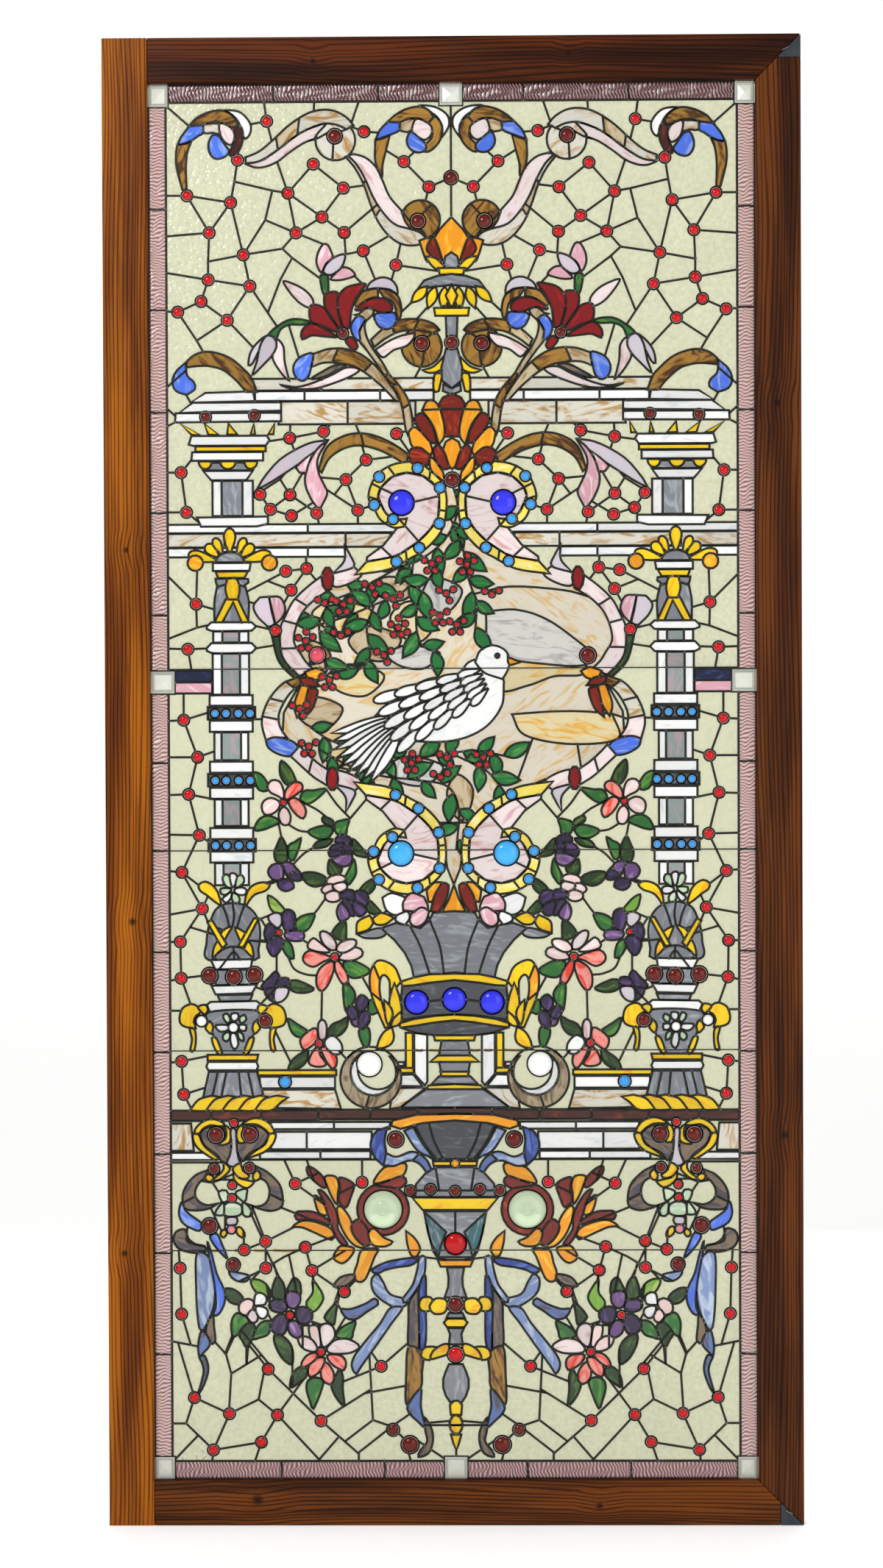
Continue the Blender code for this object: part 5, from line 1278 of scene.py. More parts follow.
def draw_posies(d):
    """The lower flowers and their leaves."""
    d.links(((-437, 282), (-402, 275)), ((-428, 280), (-403, 195)), ((-424, 395), (-422, 324), (-408, 276)),
            ((-424, 395), (-426, 422)), ((-403, 195), (-416, 155), (-437, 155)), ((-416, 155), (-374, 114)),
            ((-403, 195), (-349, 170), (-374, 114)), ((-400, 134), (-428, 105)),
            ((-374, 114), (-300, 126), (-310, 97)), ((-374, 114), (-376, 97)),
            ((-349, 170), (-304, 192), (-275, 168), (-300, 126)), ((-304, 192), (-296, 232)),
            ((-275, 168), (-250, 202)), ((-275, 168), (-212, 100)),
            ((-289, 239), (-208, 159), (-150, 108), (-150, 97)), ((-289, 239), (-312, 268)),
            ((-208, 159), (-130, 208)), ((-170, 128), (-128, 160), (-132, 240)),
            ((-128, 160), (-99, 150), (-150, 110)), ((-180, 135), (-212, 98)), ((-99, 150), (-76, 166)),
            ((-99, 150), (-74, 125)), ((-74, 112), (-70, 97)), ((-50, 122), (-22, 103)),
            ((-50, 155), (-16, 158)), ((-132, 203), (-82, 212)), ((-172, 220), (-115, 243), (-78, 275)),
            ((-128, 262), (-115, 243)), ((-300, 260), (-346, 232), (-350, 170)),
            ((-346, 232), (-354, 262), (-342, 288)), ((-354, 262), (-370, 280)), ((-320, 270), (-322, 250)),
            ((-250, 242), (-250, 225)), ((-186, 342), (-178, 366)), ((-186, 346), (-176, 330)),
            ((-171, 358), (-152, 378)), ((-22, 408), (-54, 412)), ((-56, 350), (-50, 350)),
            ((-358, 345), (-362, 340)), ((-192, 306), (-240, 306)), ((-222, 312), (-228, 318)))
    d.jewel("ruby", 9, (-424, 395), (-422, 324), (-403, 195), (-349, 170), (-374, 114), (-300, 126),
            (-275, 168), (-289, 239), (-208, 159), (-115, 243))
    at = placed(-441.6, 587.6, 0.3218, 0.3247)
    d.patches(
        at,
        ("dark_green", (264, 694), (300, 691), (341, 715), (357, 745), (330, 767), (294, 756), (274, 730)),
        ("light_green", (394, 649), (430, 649), (466, 670), (487, 710), (481, 747), (454, 746), (419, 710),
         (399, 680)),
        ("dark_green", (520, 633), (546, 660), (557, 700), (551, 747), (499, 736), (494, 700), (504, 660)),
        ("dark_green", (564, 701), (585, 659), (600, 639), (627, 660), (632, 717), (600, 706), (575, 706)),
        ("light_green", (689, 653), (721, 690), (740, 735), (721, 776), (690, 802), (664, 781), (659, 755),
         (689, 710)),
        ("green", (299, 850), (315, 814), (340, 809), (382, 840), (361, 881), (309, 922), (299, 890)),
        ("dark_green", (334, 906), (370, 859), (406, 859), (412, 900), (391, 946), (370, 972), (349, 936)),
        ("green", (409, 896), (440, 854), (481, 844), (492, 870), (471, 911), (430, 926), (404, 932)),
        ("dark_green", (504, 914), (530, 909), (571, 940), (592, 985), (589, 1052), (549, 1031), (519, 986),
         (504, 946)),
        ("dark_green", (807, 758), (801, 800), (791, 862), (769, 856), (744, 830), (769, 790)),
        ("green", (892, 848), (881, 900), (871, 932), (810, 926), (799, 910), (829, 875)),
        ("dark_green", (579, 1162), (589, 1100), (625, 1064), (662, 1075), (656, 1111), (620, 1141)),
        ("green", (664, 1130), (700, 1114), (737, 1130), (726, 1181), (690, 1263), (674, 1231),
         (657, 1170)),
        ("dark_green", (774, 1145), (800, 1099), (816, 1073), (832, 1110), (831, 1170), (837, 1248),
         (799, 1211)),
        ("blush", (334, 785), (345, 754), (380, 739), (407, 755), (401, 786), (375, 817), (344, 811)),
        ("white", (409, 750), (415, 719), (440, 711), (467, 730), (461, 766), (425, 771), (409, 770)),
        ("blush", (374, 820), (400, 789), (427, 815), (421, 846), (400, 854), (384, 841)),
        ("white", (414, 785), (430, 774), (466, 785), (474, 810), (455, 834), (429, 826)),
        ("purple", (479, 770), (500, 744), (551, 749), (567, 785), (540, 806), (494, 796)),
        ("mauve", (559, 720), (590, 704), (627, 720), (626, 761), (600, 787), (569, 776)),
        ("purple", (609, 790), (640, 777), (681, 795), (687, 830), (665, 857), (624, 856), (607, 825)),
        ("mauve", (574, 851), (610, 844), (636, 885), (637, 916), (610, 927), (579, 906), (569, 875)),
        ("purple", (484, 870), (505, 829), (545, 811), (571, 840), (566, 871), (550, 907), (509, 906)),
        ("blush", (669, 880), (680, 867), (711, 869), (723, 920), (725, 967), (699, 971), (679, 936)),
        ("pink_white", (724, 870), (755, 857), (786, 874), (794, 920), (761, 961), (735, 967), (723, 915)),
        ("pink_white", (756, 975), (790, 939), (840, 929), (886, 944), (912, 970), (871, 996), (810, 1002),
         (765, 996)),
        ("salmon", (756, 1010), (790, 1004), (831, 1015), (847, 1045), (836, 1080), (799, 1066),
         (769, 1041)),
        ("salmon", (735, 1040), (761, 1050), (787, 1090), (786, 1131), (765, 1147), (734, 1126),
         (725, 1085)),
        ("salmon", (664, 1080), (680, 1039), (710, 1021), (745, 1022), (736, 1061), (710, 1096),
         (674, 1112)),
        ("salmon", (634, 1045), (660, 1009), (700, 996), (714, 1010), (681, 1046), (639, 1067)),
        ("blush", (619, 924), (655, 919), (691, 940), (711, 980), (690, 992), (649, 981), (624, 956)))
    d.curves(at, ((370, 970), (370, 1035)), ((392, 946), (470, 1040)), ((504, 575), (520, 633)),
             ((690, 620), (690, 655)), ((300, 920), (268, 1000)), ((480, 745), (484, 770)),
             ((690, 850), (720, 860)), ((590, 1050), (590, 1100)), ((830, 1246), (835, 1250)),
             ((640, 920), (640, 900)), ((808, 758), (812, 742)), ((474, 810), (490, 840)),
             ((406, 640), (396, 650)), ((840, 835), (812, 880)))
    d.jewel("ruby", 7, at((580, 818))[0])
    d.jewel("ruby", 7, at((727, 993))[0])


def draw_branch(d, stem, leaves, first_side=1):
    """A stem with leaves that stand out of it by turns."""
    curve = smooth(stem)
    d.came(*stem)
    for k in range(leaves):
        here = min(along(curve, (k + 0.5) / leaves), len(curve) - 2)
        run = (curve[here + 1] - curve[here]).normalized()
        turn = math.radians((46, 62, 38)[k % 3] * (1 if (k + first_side) % 2 else -1))
        reach = 34 + 6 * ((k * 7) % 3)
        tip = curve[here] + reach * Vector((run.x * math.cos(turn) - run.y * math.sin(turn),
                                            run.x * math.sin(turn) + run.y * math.cos(turn)))
        d.leaf("leaf_green", curve[here], tip, 17 + 2 * (k % 3), 3 if k % 2 else -2)


def draw_berries(d, *clusters):
    """Clusters of small round berries: place and number."""
    spots = ((0, 0), (11, 6), (-11, 5), (5, -11), (-7, -11), (1, 14), (14, -7))
    for x, z, count in clusters:
        for px, pz in spots[:count]:
            d.jewel("ruby", 5.4, (x + px, z + pz))


def draw_bird(d):
    """A plain white dove that looks to the right, with a folded wing and a fanned tail."""
    d.pane(
        "white",
        [(78, 1296), (70, 1320), (48, 1332), (24, 1326), (4, 1306), (-40, 1300), (-90, 1272), (-128, 1236)],
        [(-110, 1222), (-60, 1206), (0, 1206), (46, 1224), (74, 1258)])
    for k in range(9):
        t = math.radians(197 + 5.2 * k)
        reach = 112 - 4 * abs(k - 4)
        d.leaf("white", (-96 + 2 * k, 1246 - 3 * k),
               (-96 + 2 * k + reach * math.cos(t), 1246 - 3 * k + reach * math.sin(t)), 15, 3)
    for row in range(4, -1, -1):
        for k in range(5):
            side = (k - 1.5) * (8 + 1.4 * row)
            base = (46 - 24 * row + 0.36 * side, 1304 - 9 * row - 0.93 * side)
            turn = math.radians(197 + 7 * k)
            reach = 36 + 8 * row
            tip = (base[0] + reach * math.cos(turn), base[1] + reach * math.sin(turn))
            d.petal("white", base, tip, 13 + row)
    d.pane("white", [(76, 1300), (86, 1320), (82, 1342), (62, 1352), (42, 1344), (34, 1326)], [(48, 1310)])
    d.pane("amber", [(84, 1334), (104, 1326)], [(86, 1322)])
    d.disc("dark_grey", 68, 1336, 3.4)


def draw_picture(d):
    """The picture inside the medallion: banded sky, leafy branches with berries, and a white bird."""
    d.across("sky", (0, 1612), (-10, 1600), (-14, 1540), (-60, 1502), (-140, 1462), (-195, 1448),
             (-235, 1412), (-252, 1370), (-245, 1330), (-222, 1308), (-242, 1282), (-260, 1250),
             (-262, 1220), (-240, 1192), (-200, 1160), (-140, 1146), (-60, 1112), (-18, 1062), (-10, 1010),
             (0, 985))
    d.sides = (1,)
    d.pane("pale_amber", [(62, 1340), (100, 1332), (150, 1322), (205, 1322)],
           [(196, 1306), (155, 1304), (115, 1290), (70, 1284)])
    d.pane("grey_sky", [(50, 1404), (100, 1406), (150, 1388), (212, 1342)],
           [(205, 1322), (150, 1322), (62, 1340)])
    d.pane("pale_amber", [(90, 1246), (150, 1250), (200, 1250), (244, 1246)],
           [(252, 1208), (180, 1200), (110, 1214)])
    for x, z, width, height, kind in ((-170, 1398, 46, 24, "pale_amber"), (-120, 1356, 40, 26, "tan"),
                                      (-60, 1390, 36, 30, "pale_amber"), (-212, 1330, 24, 30, "tan"),
                                      (-150, 1300, 44, 24, "pale_amber"), (-206, 1250, 36, 24, "tan"),
                                      (-150, 1180, 50, 18, "pale_amber"), (-60, 1160, 44, 22, "grey_sky"),
                                      (-20, 1430, 34, 26, "grey_sky"), (-90, 1440, 36, 18, "tan"),
                                      (10, 1120, 20, 34, "tan"), (-60, 1335, 40, 18, "grey_sky")):
        d.patch(
            kind,
            [(x - width, z + height * 0.2), (x - width * 0.2, z + height), (x + width, z + height * 0.3),
             (x + width * 0.4, z - height), (x - width * 0.5, z - height * 0.8)])
    for line in (((38, 1432), (90, 1442), (170, 1436), (214, 1424)), ((88, 1243), (70, 1230)),
                 ((244, 1246), (262, 1240)), ((230, 1204), (256, 1206)), ((-10, 1560), (10, 1562)),
                 ((-13, 1520), (13, 1522)), ((-14, 1080), (14, 1080)), ((120, 1204), (100, 1150)),
                 ((190, 1202), (196, 1162))):
        d.came(*line)
    draw_branch(
        d,
        ((0, 1600), (8, 1560), (-8, 1520), (-40, 1490), (-90, 1468), (-140, 1440), (-190, 1420)),
        12)
    draw_branch(d, ((0, 1540), (16, 1500), (24, 1455), (36, 1415), (34, 1370)), 9)
    draw_branch(d, ((-60, 1480), (-70, 1440), (-120, 1415), (-170, 1395), (-222, 1380)), 9, 0)
    draw_branch(d, ((-20, 1480), (-44, 1440), (-56, 1400), (-50, 1356), (-20, 1340)), 8)
    draw_branch(d, ((-120, 1415), (-132, 1380), (-128, 1340), (-150, 1310)), 6)
    draw_branch(d, ((-190, 1420), (-205, 1385), (-200, 1350), (-196, 1322)), 5)
    draw_branch(
        d,
        ((-226, 1232), (-190, 1208), (-140, 1190), (-90, 1180), (-40, 1182), (30, 1190), (90, 1180)),
        15)
    draw_branch(
        d,
        ((-200, 1190), (-160, 1168), (-110, 1152), (-60, 1146), (-10, 1136), (8, 1100), (4, 1040)),
        12,
        0)
    draw_branch(d, ((10, 1180), (50, 1160), (76, 1130)), 4)
    draw_berries(d, (-32, 1478, 5), (22, 1476, 6), (60, 1430, 3), (-92, 1424, 4), (-124, 1442, 4),
                 (-196, 1418, 3), (-168, 1416, 5), (-84, 1380, 7), (-226, 1360, 6), (-172, 1368, 3),
                 (-10, 1432, 4), (6, 1384, 5), (-106, 1338, 4), (-20, 1398, 5), (-236, 1256, 4),
                 (-222, 1198, 5), (-64, 1172, 6), (-10, 1180, 4), (46, 1180, 5), (-190, 1300, 5),
                 (-20, 1150, 3))
    draw_bird(d)
    d.jewel("rose_jewel", 13, (-208, 1338))
    d.jewel("brown_jewel", 13, (207, 1336))
    d.sides = (1, -1)


def draw_window():
    """The whole panel, from the ground up to the jewels."""
    d = Drawing()
    draw_border(d)
    draw_field(d)
    draw_shelf(d)
    draw_left_edge(d)
    draw_ribbon_side(d)
    draw_posies(d)
    draw_courses(d)
    draw_crest(d)
    draw_finial(d)
    draw_lilies(d)
    draw_volutes(d)
    draw_capital(d)
    draw_shaft(d)
    draw_garland(d)
    draw_picture(d)
    draw_medallion_frame(d)
    draw_volute(d, -78, 1571, 1, "cobalt")
    draw_volute(d, -81, 1033, -1, "sky_large")
    draw_palm(d)
    draw_ledge(d)
    draw_column_foot(d)
    draw_urn(d)
    draw_bracket(d)
    draw_cornucopia(d)
    draw_bow(d)
    draw_torch(d)
    for z in SEAMS:
        d.sides = (1,)
        d.came((-437, z), (437, z), width=SEAM_CAME, curved=False)
        d.sides = (1, -1)
    for x, z, radius, _ in d.jewels:
        order = d.next_order()
        sides = max(10, min(22, round(radius * 1.3)))
        d.panes.append((order, "seat", arc(x, z, radius, radius, 0, 360 * (sides - 1) / sides, sides - 1)))
    return d


class Net:
    """The drawing laid flat: triangles that belong to panes, and the edges that carry a came."""

    def __init__(self, drawing):
        """Triangles over the whole drawing, the pane that owns each, and the walls between them."""
        points = []
        edges = []
        self.line_rank = []
        for order, run, width in drawing.cames:
            first = len(points)
            points += run
            for k in range(len(run) - 1):
                edges.append((first + k, first + k + 1))
                self.line_rank.append((order, width))
        for _, _, outline in drawing.panes:
            first = len(points)
            n = len(outline)
            points += outline
            edges += [(first + k, first + (k + 1) % n) for k in range(n)]
        self.ranks = [(order, kind) for order, kind, _ in drawing.panes]
        result = delaunay_2d_cdt(points, edges, [], 0, MERGED, True)
        self.points, self.edges, self.triangles, _, edge_sources, _ = result
        self.owner = self.owners(drawing)
        self.beside = {}
        for number, triangle in enumerate(self.triangles):
            for i in range(3):
                self.beside[(triangle[i], triangle[(i + 1) % 3])] = number
        self.walls = {}
        for edge, sources in zip(self.edges, edge_sources):
            self.note_wall(edge, [k for k in sources if k < len(self.line_rank)])

    def owners(self, drawing):
        """The topmost pane over each triangle."""
        spots = np.array([[(self.points[a] + self.points[b] + self.points[c])[i] / 3 for i in (0, 1)]
                          for a, b, c in self.triangles])
        owner = [None] * len(self.triangles)
        for number in sorted(range(len(drawing.panes)), key=lambda k: drawing.panes[k][0]):
            ring = np.array([tuple(p) for p in drawing.panes[number][2]])
            low, high = ring.min(0), ring.max(0)
            near = np.nonzero(((spots > low) & (spots < high)).all(1))[0]
            x, z = spots[near, 0][:, None], spots[near, 1][:, None]
            a, b = ring, np.roll(ring, -1, 0)
            side = (b[:, 0] - a[:, 0]) * (z - a[:, 1]) - (x - a[:, 0]) * (b[:, 1] - a[:, 1])
            up = (a[:, 1] <= z) & (b[:, 1] > z) & (side > 0)
            down = (a[:, 1] > z) & (b[:, 1] <= z) & (side < 0)
            for k in near[(up.sum(1) - down.sum(1)) != 0]:
                owner[k] = number
        return owner

    def note_wall(self, edge, lines):
        """Keep the edge if two panes meet on it, or if a came on it lies above the pane."""
        a, b = edge
        sides = [self.beside.get((a, b)), self.beside.get((b, a))]
        owners = [self.owner[k] for k in sides if k is not None]
        tops = [self.ranks[k][0] for k in owners if k is not None]
        line = max((self.line_rank[k] for k in lines), default=(0, CAME))
        if len(set(owners)) > 1 or len(owners) < 2:
            kinds = {self.ranks[k][1] for k in owners if k is not None}
            if kinds != {"seat"} or len(owners) > 1:
                self.walls[(min(a, b), max(a, b))] = THIN_CAME if "seat" in kinds else CAME
        elif line[0] > max(tops):
            self.walls[(min(a, b), max(a, b))] = line[1]

    def pieces(self):
        """Each separate pane as its kind and its triangles."""
        seen = [False] * len(self.triangles)
        found = []
        for start in range(len(self.triangles)):
            if seen[start] or self.owner[start] is None:
                continue
            seen[start] = True
            waiting = [start]
            members = []
            while waiting:
                number = waiting.pop()
                members.append(number)
                triangle = self.triangles[number]
                for i in range(3):
                    a, b = triangle[i], triangle[(i + 1) % 3]
                    other = self.beside.get((b, a))
                    if other is None or seen[other] or (min(a, b), max(a, b)) in self.walls:
                        continue
                    seen[other] = True
                    waiting.append(other)
            found.append((self.ranks[self.owner[start]][1], [self.triangles[k] for k in members]))
        return found

    def chains(self):
        """Runs of walls between meetings, each as its points, width and whether it is a ring."""
        near = {}
        for (a, b), width in self.walls.items():
            near.setdefault(a, []).append((b, width))
            near.setdefault(b, []).append((a, width))
        ends = {k for k, others in near.items() if len(others) != 2 or others[0][1] != others[1][1]}
        used = set()
        runs = []
        for start in sorted(ends) + sorted(set(near) - ends):
            for first, width in near[start]:
                if (start, first) in used:
                    continue
                run = [start, first]
                used.update(((start, first), (first, start)))
                while run[-1] not in ends and run[-1] != start:
                    step = next((b for b, _ in near[run[-1]] if (run[-1], b) not in used), None)
                    if step is None:
                        break
                    used.update(((run[-1], step), (step, run[-1])))
                    run.append(step)
                runs.append(([self.points[k] for k in run], width, run[0] == run[-1]))
        meetings = [(self.points[k], max(w for _, w in near[k])) for k in ends if len(near[k]) > 2]
        return runs, meetings


def met(runs, jewels):
    """Loose ends run on to the next came, and short scraps are left out."""
    ends = {}
    for run, _, _ in runs:
        for k in (0, -1):
            ends[tuple(run[k])] = ends.get(tuple(run[k]), 0) + 1
    lines = [pair for run, _, _ in runs for pair in zip(run, run[1:])]
    kept = []
    for run, width, closed in runs:
        longer = list(run)
        lost = 0
        for k, inner in ((0, 1), (-1, -2)):
            end = run[k]
            seated = any((Vector(jewel[:2]) - end).length < jewel[2] + 1 for jewel in jewels)
            if closed or seated or ends[tuple(end)] > 1:
                continue
            far = end + (end - run[inner]).normalized() * LOOSE_REACH
            hits = [intersect_line_line_2d(end, far, a, b) for a, b in lines]
            hits = [hit for hit in hits if hit and (hit - end).length > TOUCHING]
            if hits:
                nearest = min(hits, key=lambda hit: (hit - end).length)
                longer.insert(0 if k == 0 else len(longer), nearest)
            else:
                lost += 1
        if not lost or sum((b - a).length for a, b in zip(run, run[1:])) > SCRAP:
            kept.append((longer, width, closed))
    return kept


def plainer(run):
    """The run without the points that lie within a hair of a straight line."""
    if len(run) < 3:
        return run
    a, b = run[0], run[-1]
    span = b - a
    reach = max(span.length, 1e-6)
    if reach < 1e-3:
        far = max(range(1, len(run) - 1), key=lambda k: (run[k] - a).length)
        off = FLATNESS + 1
    else:
        gaps = [abs(span.x * (p.y - a.y) - span.y * (p.x - a.x)) / reach for p in run[1:-1]]
        off = max(gaps)
        far = gaps.index(off) + 1
    if off < FLATNESS:
        return [a, b]
    return plainer(run[:far + 1])[:-1] + plainer(run[far:])


def section_of(z):
    """The section of the panel at a height."""
    return SECTIONS[sum(z > seam for seam in SEAMS)]


class Shape:
    """Vertices in millimetres, faces, and the material and attributes that go with them."""

    def __init__(self):
        """A shape without faces yet; kinds names the glass of each material."""
        self.verts = []
        self.faces = []
        self.slots = []
        self.tones = []
        self.grains = []
        self.kinds = []

    def add(self, verts, faces, slot=0, tone=0.5, grains=None):
        """More faces, with their material, their tone and the places their figure is taken from."""
        first = len(self.verts)
        self.verts += verts
        self.faces += [tuple(first + k for k in face) for face in faces]
        self.slots += [slot] * len(faces)
        self.tones += [tone] * len(verts)
        self.grains += grains or [(v[0] * MM, v[1] * MM, v[2] * MM) for v in verts]

    def make(self, name, materials, smooth_faces=False):
        """The object, which rides on the body."""
        mesh = bpy.data.meshes.new(name)
        mesh.from_pydata([(x * MM, y * MM, z * MM) for x, y, z in self.verts], [], self.faces)
        mesh.polygons.foreach_set("material_index", self.slots)
        mesh.polygons.foreach_set("use_smooth", [smooth_faces] * len(self.faces))
        tone = mesh.attributes.new("tone", "FLOAT", "POINT")
        tone.data.foreach_set("value", self.tones)
        grain = mesh.attributes.new("grain", "FLOAT_VECTOR", "POINT")
        grain.data.foreach_set("vector", [c for g in self.grains for c in g])
        for material in materials:
            mesh.materials.append(material)
        piece = bpy.data.objects.new(name, mesh)
        bpy.context.scene.collection.objects.link(piece)
        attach(piece, "root")
        return piece


def long_axis(points):
    """The direction in which a pane is longest, in radians."""
    n = len(points)
    mx = sum(p.x for p in points) / n
    mz = sum(p.y for p in points) / n
    xx = sum((p.x - mx) ** 2 for p in points)
    zz = sum((p.y - mz) ** 2 for p in points)
    xz = sum((p.x - mx) * (p.y - mz) for p in points)
    return 0.5 * math.atan2(2 * xz, xx - zz)


def add_pane(shape, net, triangles, slot, chance):
    """A slab of glass with its own tone and its own direction of streaks."""
    used = sorted({k for triangle in triangles for k in triangle})
    place_of = {old: new for new, old in enumerate(used)}
    flat = [net.points[k] for k in used]
    n = len(used)
    verts = [(p.x, SHEET_FRONT, p.y) for p in flat] + [(p.x, SHEET_BACK, p.y) for p in flat]
    faces = [tuple(place_of[k] for k in t) for t in triangles]
    directed = {(f[i], f[(i + 1) % 3]) for f in faces for i in range(3)}
    rim = [(a, b) for a, b in directed if (b, a) not in directed]
    faces = faces + [tuple(n + k for k in reversed(f)) for f in faces]
    faces += [(b, a, n + a, n + b) for a, b in rim]
    turn = long_axis(flat) + chance.uniform(-0.25, 0.25)
    c, s = math.cos(turn), math.sin(turn)
    shift = chance.uniform(0, 40)
    grain = [((x * c + z * s) * MM + shift, y * MM, (z * c - x * s) * MM + shift) for x, y, z in verts]
    shape.add(verts, faces, slot, chance.random(), grain)


def came_profile(width):
    """A came's section: share of the width, and depth off the front or the back of the glass."""
    rise = CAME_RISE * (0.55 if width < CAME * 0.6 else 1.0)
    return ((-0.5, -0.15), (-0.28, -rise), (0.28, -rise), (0.5, -0.15), (0.42, CAME_BACK), (-0.42, CAME_BACK))


def add_came(shape, run, width, closed, tone=0.5, profile=None):
    """A came drawn along a run: rounded in front, plain behind, unless it has a profile of its own."""
    profile = profile or came_profile(width)
    run = [p for k, p in enumerate(run) if k == 0 or (p - run[k - 1]).length > 0.05]
    count = len(run) - 1 if closed else len(run)
    if count < 2:
        return
    verts = []
    for k in range(count):
        before = run[k - 1] if k else (run[-2] if closed else run[0])
        after = run[k + 1] if k + 1 < len(run) else run[k]
        pairs = ((before, run[k]), (run[k], after))
        steps = [(b - a).normalized() for a, b in pairs if (b - a).length > 1e-6]
        mean = sum(steps, Vector((0, 0)))
        mean = mean.normalized() if mean.length > 1e-6 else steps[0]
        normal = Vector((-mean.y, mean.x))
        stretch = min(1 / max(abs(mean.dot(steps[0])), 0.55), 1.8) * width
        for across, depth in profile:
            spot = run[k] + normal * across * stretch
            level = SHEET_FRONT + depth if depth < 0 else SHEET_BACK + depth
            verts.append((spot.x, level, spot.y))
    sides = len(profile)
    faces = []
    for k in range(count if closed else count - 1):
        here = k * sides
        there = (k + 1) % count * sides
        for i in range(sides):
            j = (i + 1) % sides
            faces.append((here + j, here + i, there + i, there + j))
    if not closed:
        last = (count - 1) * sides
        faces += [tuple(range(sides)), tuple(last + k for k in reversed(range(sides)))]
    shape.add(verts, faces, tone=tone)


def add_solder(shape, spot, width, chance):
    """A flat drop of solder over a meeting of cames."""
    sides = 7
    reach = width * chance.uniform(0.6, 0.78)
    turns = [2 * math.pi * k / sides + chance.random() for k in range(sides)]
    verts = [(spot.x + reach * math.cos(t), SHEET_FRONT - 0.2, spot.y + reach * math.sin(t)) for t in turns]
    verts += [(spot.x + reach * 0.6 * math.cos(t), SHEET_FRONT - CAME_RISE - SOLDER_RISE,
               spot.y + reach * 0.6 * math.sin(t)) for t in turns]
    faces = [(k, (k + 1) % sides, sides + (k + 1) % sides, sides + k) for k in range(sides)]
    faces += [tuple(sides + k for k in range(sides)), tuple(reversed(range(sides)))]
    shape.add(verts, faces, tone=0.9)


def tint(code):
    """Linear colour from six hexadecimal digits."""
    parts = [int(code[k:k + 2], 16) / 255 for k in (0, 2, 4)]
    return tuple(p / 12.92 if p < 0.04045 else ((p + 0.055) / 1.055) ** 2.4 for p in parts) + (1.0,)


def feed(tree, socket, value):
    """Links a socket to another one, or sets its value."""
    if isinstance(value, bpy.types.NodeSocket):
        tree.links.new(value, socket)
    else:
        socket.default_value = value


def node(tree, kind, **inputs):
    """A shader node with its inputs set or linked; i0, i1 and so on are inputs by number."""
    made = tree.nodes.new("ShaderNode" + kind)
    for name, value in inputs.items():
        if hasattr(made, name) and name not in made.inputs:
            setattr(made, name, value)
        elif name[0] == "i" and name[1:].isdigit():
            feed(tree, made.inputs[int(name[1:])], value)
        else:
            feed(tree, made.inputs[name], value)
    return made


def blank(name):
    """A new material, its tree and its shader."""
    material = bpy.data.materials.new(name)
    material.use_nodes = True
    tree = material.node_tree
    return material, tree, tree.nodes["Principled BSDF"]


def settle(shader, **values):
    """Plain values on the shader, by the names of its inputs with _ for a space."""
    for name, value in values.items():
        shader.inputs[name.replace("_", " ")].default_value = value


def object_place(tree):
    """Places in the object's own frame, in metres."""
    return node(tree, "TexCoord").outputs["Object"]


def carried(tree, name, output="Fac"):
    """A value that the mesh carries at each of its points."""
    return node(tree, "Attribute", attribute_name=name).outputs[output]


def maths(tree, operation, *values):
    """The outcome of one step of arithmetic."""
    inputs = {"i" + str(k): value for k, value in enumerate(values)}
    return node(tree, "Math", operation=operation, **inputs).outputs[0]


def ranged(tree, value, low, high, first=0.0, last=1.0):
    """A value taken from the range low to high over to the range first to last."""
    return node(tree, "MapRange", Value=value, i1=low, i2=high, i3=first, i4=last).outputs[0]


def mixed(tree, share, one, two, blend="MIX"):
    """Two colours mixed by a share."""
    return node(tree, "Mix", data_type="RGBA", blend_type=blend, i0=share, i6=one, i7=two).outputs[2]


def ramp(tree, factor, *stops):
    """A colour ramp with stops of place and colour code."""
    made = node(tree, "ValToRGB", Fac=factor)
    stripe = made.color_ramp
    while len(stripe.elements) < len(stops):
        stripe.elements.new(0.5)
    for element, (place, code) in zip(stripe.elements, stops):
        element.position = place
        element.color = tint(code)
    return made.outputs["Color"]


def stretched(tree, vector, x, y, z):
    """A place with each of its parts made larger."""
    return node(tree, "VectorMath", operation="MULTIPLY", i0=vector, i1=(x, y, z)).outputs[0]


def noise(tree, vector, scale, detail=3.0, twist=0.0):
    """Soft noise from 0 to 1."""
    return node(tree, "TexNoise", Vector=vector, Scale=scale, Detail=detail, Distortion=twist).outputs["Fac"]


def bump(tree, shader, height, strength, reach):
    """Relief finer than the mesh, from a height."""
    made = node(tree, "Bump", Height=height, Strength=strength, Distance=reach)
    tree.links.new(made.outputs["Normal"], shader.inputs["Normal"])


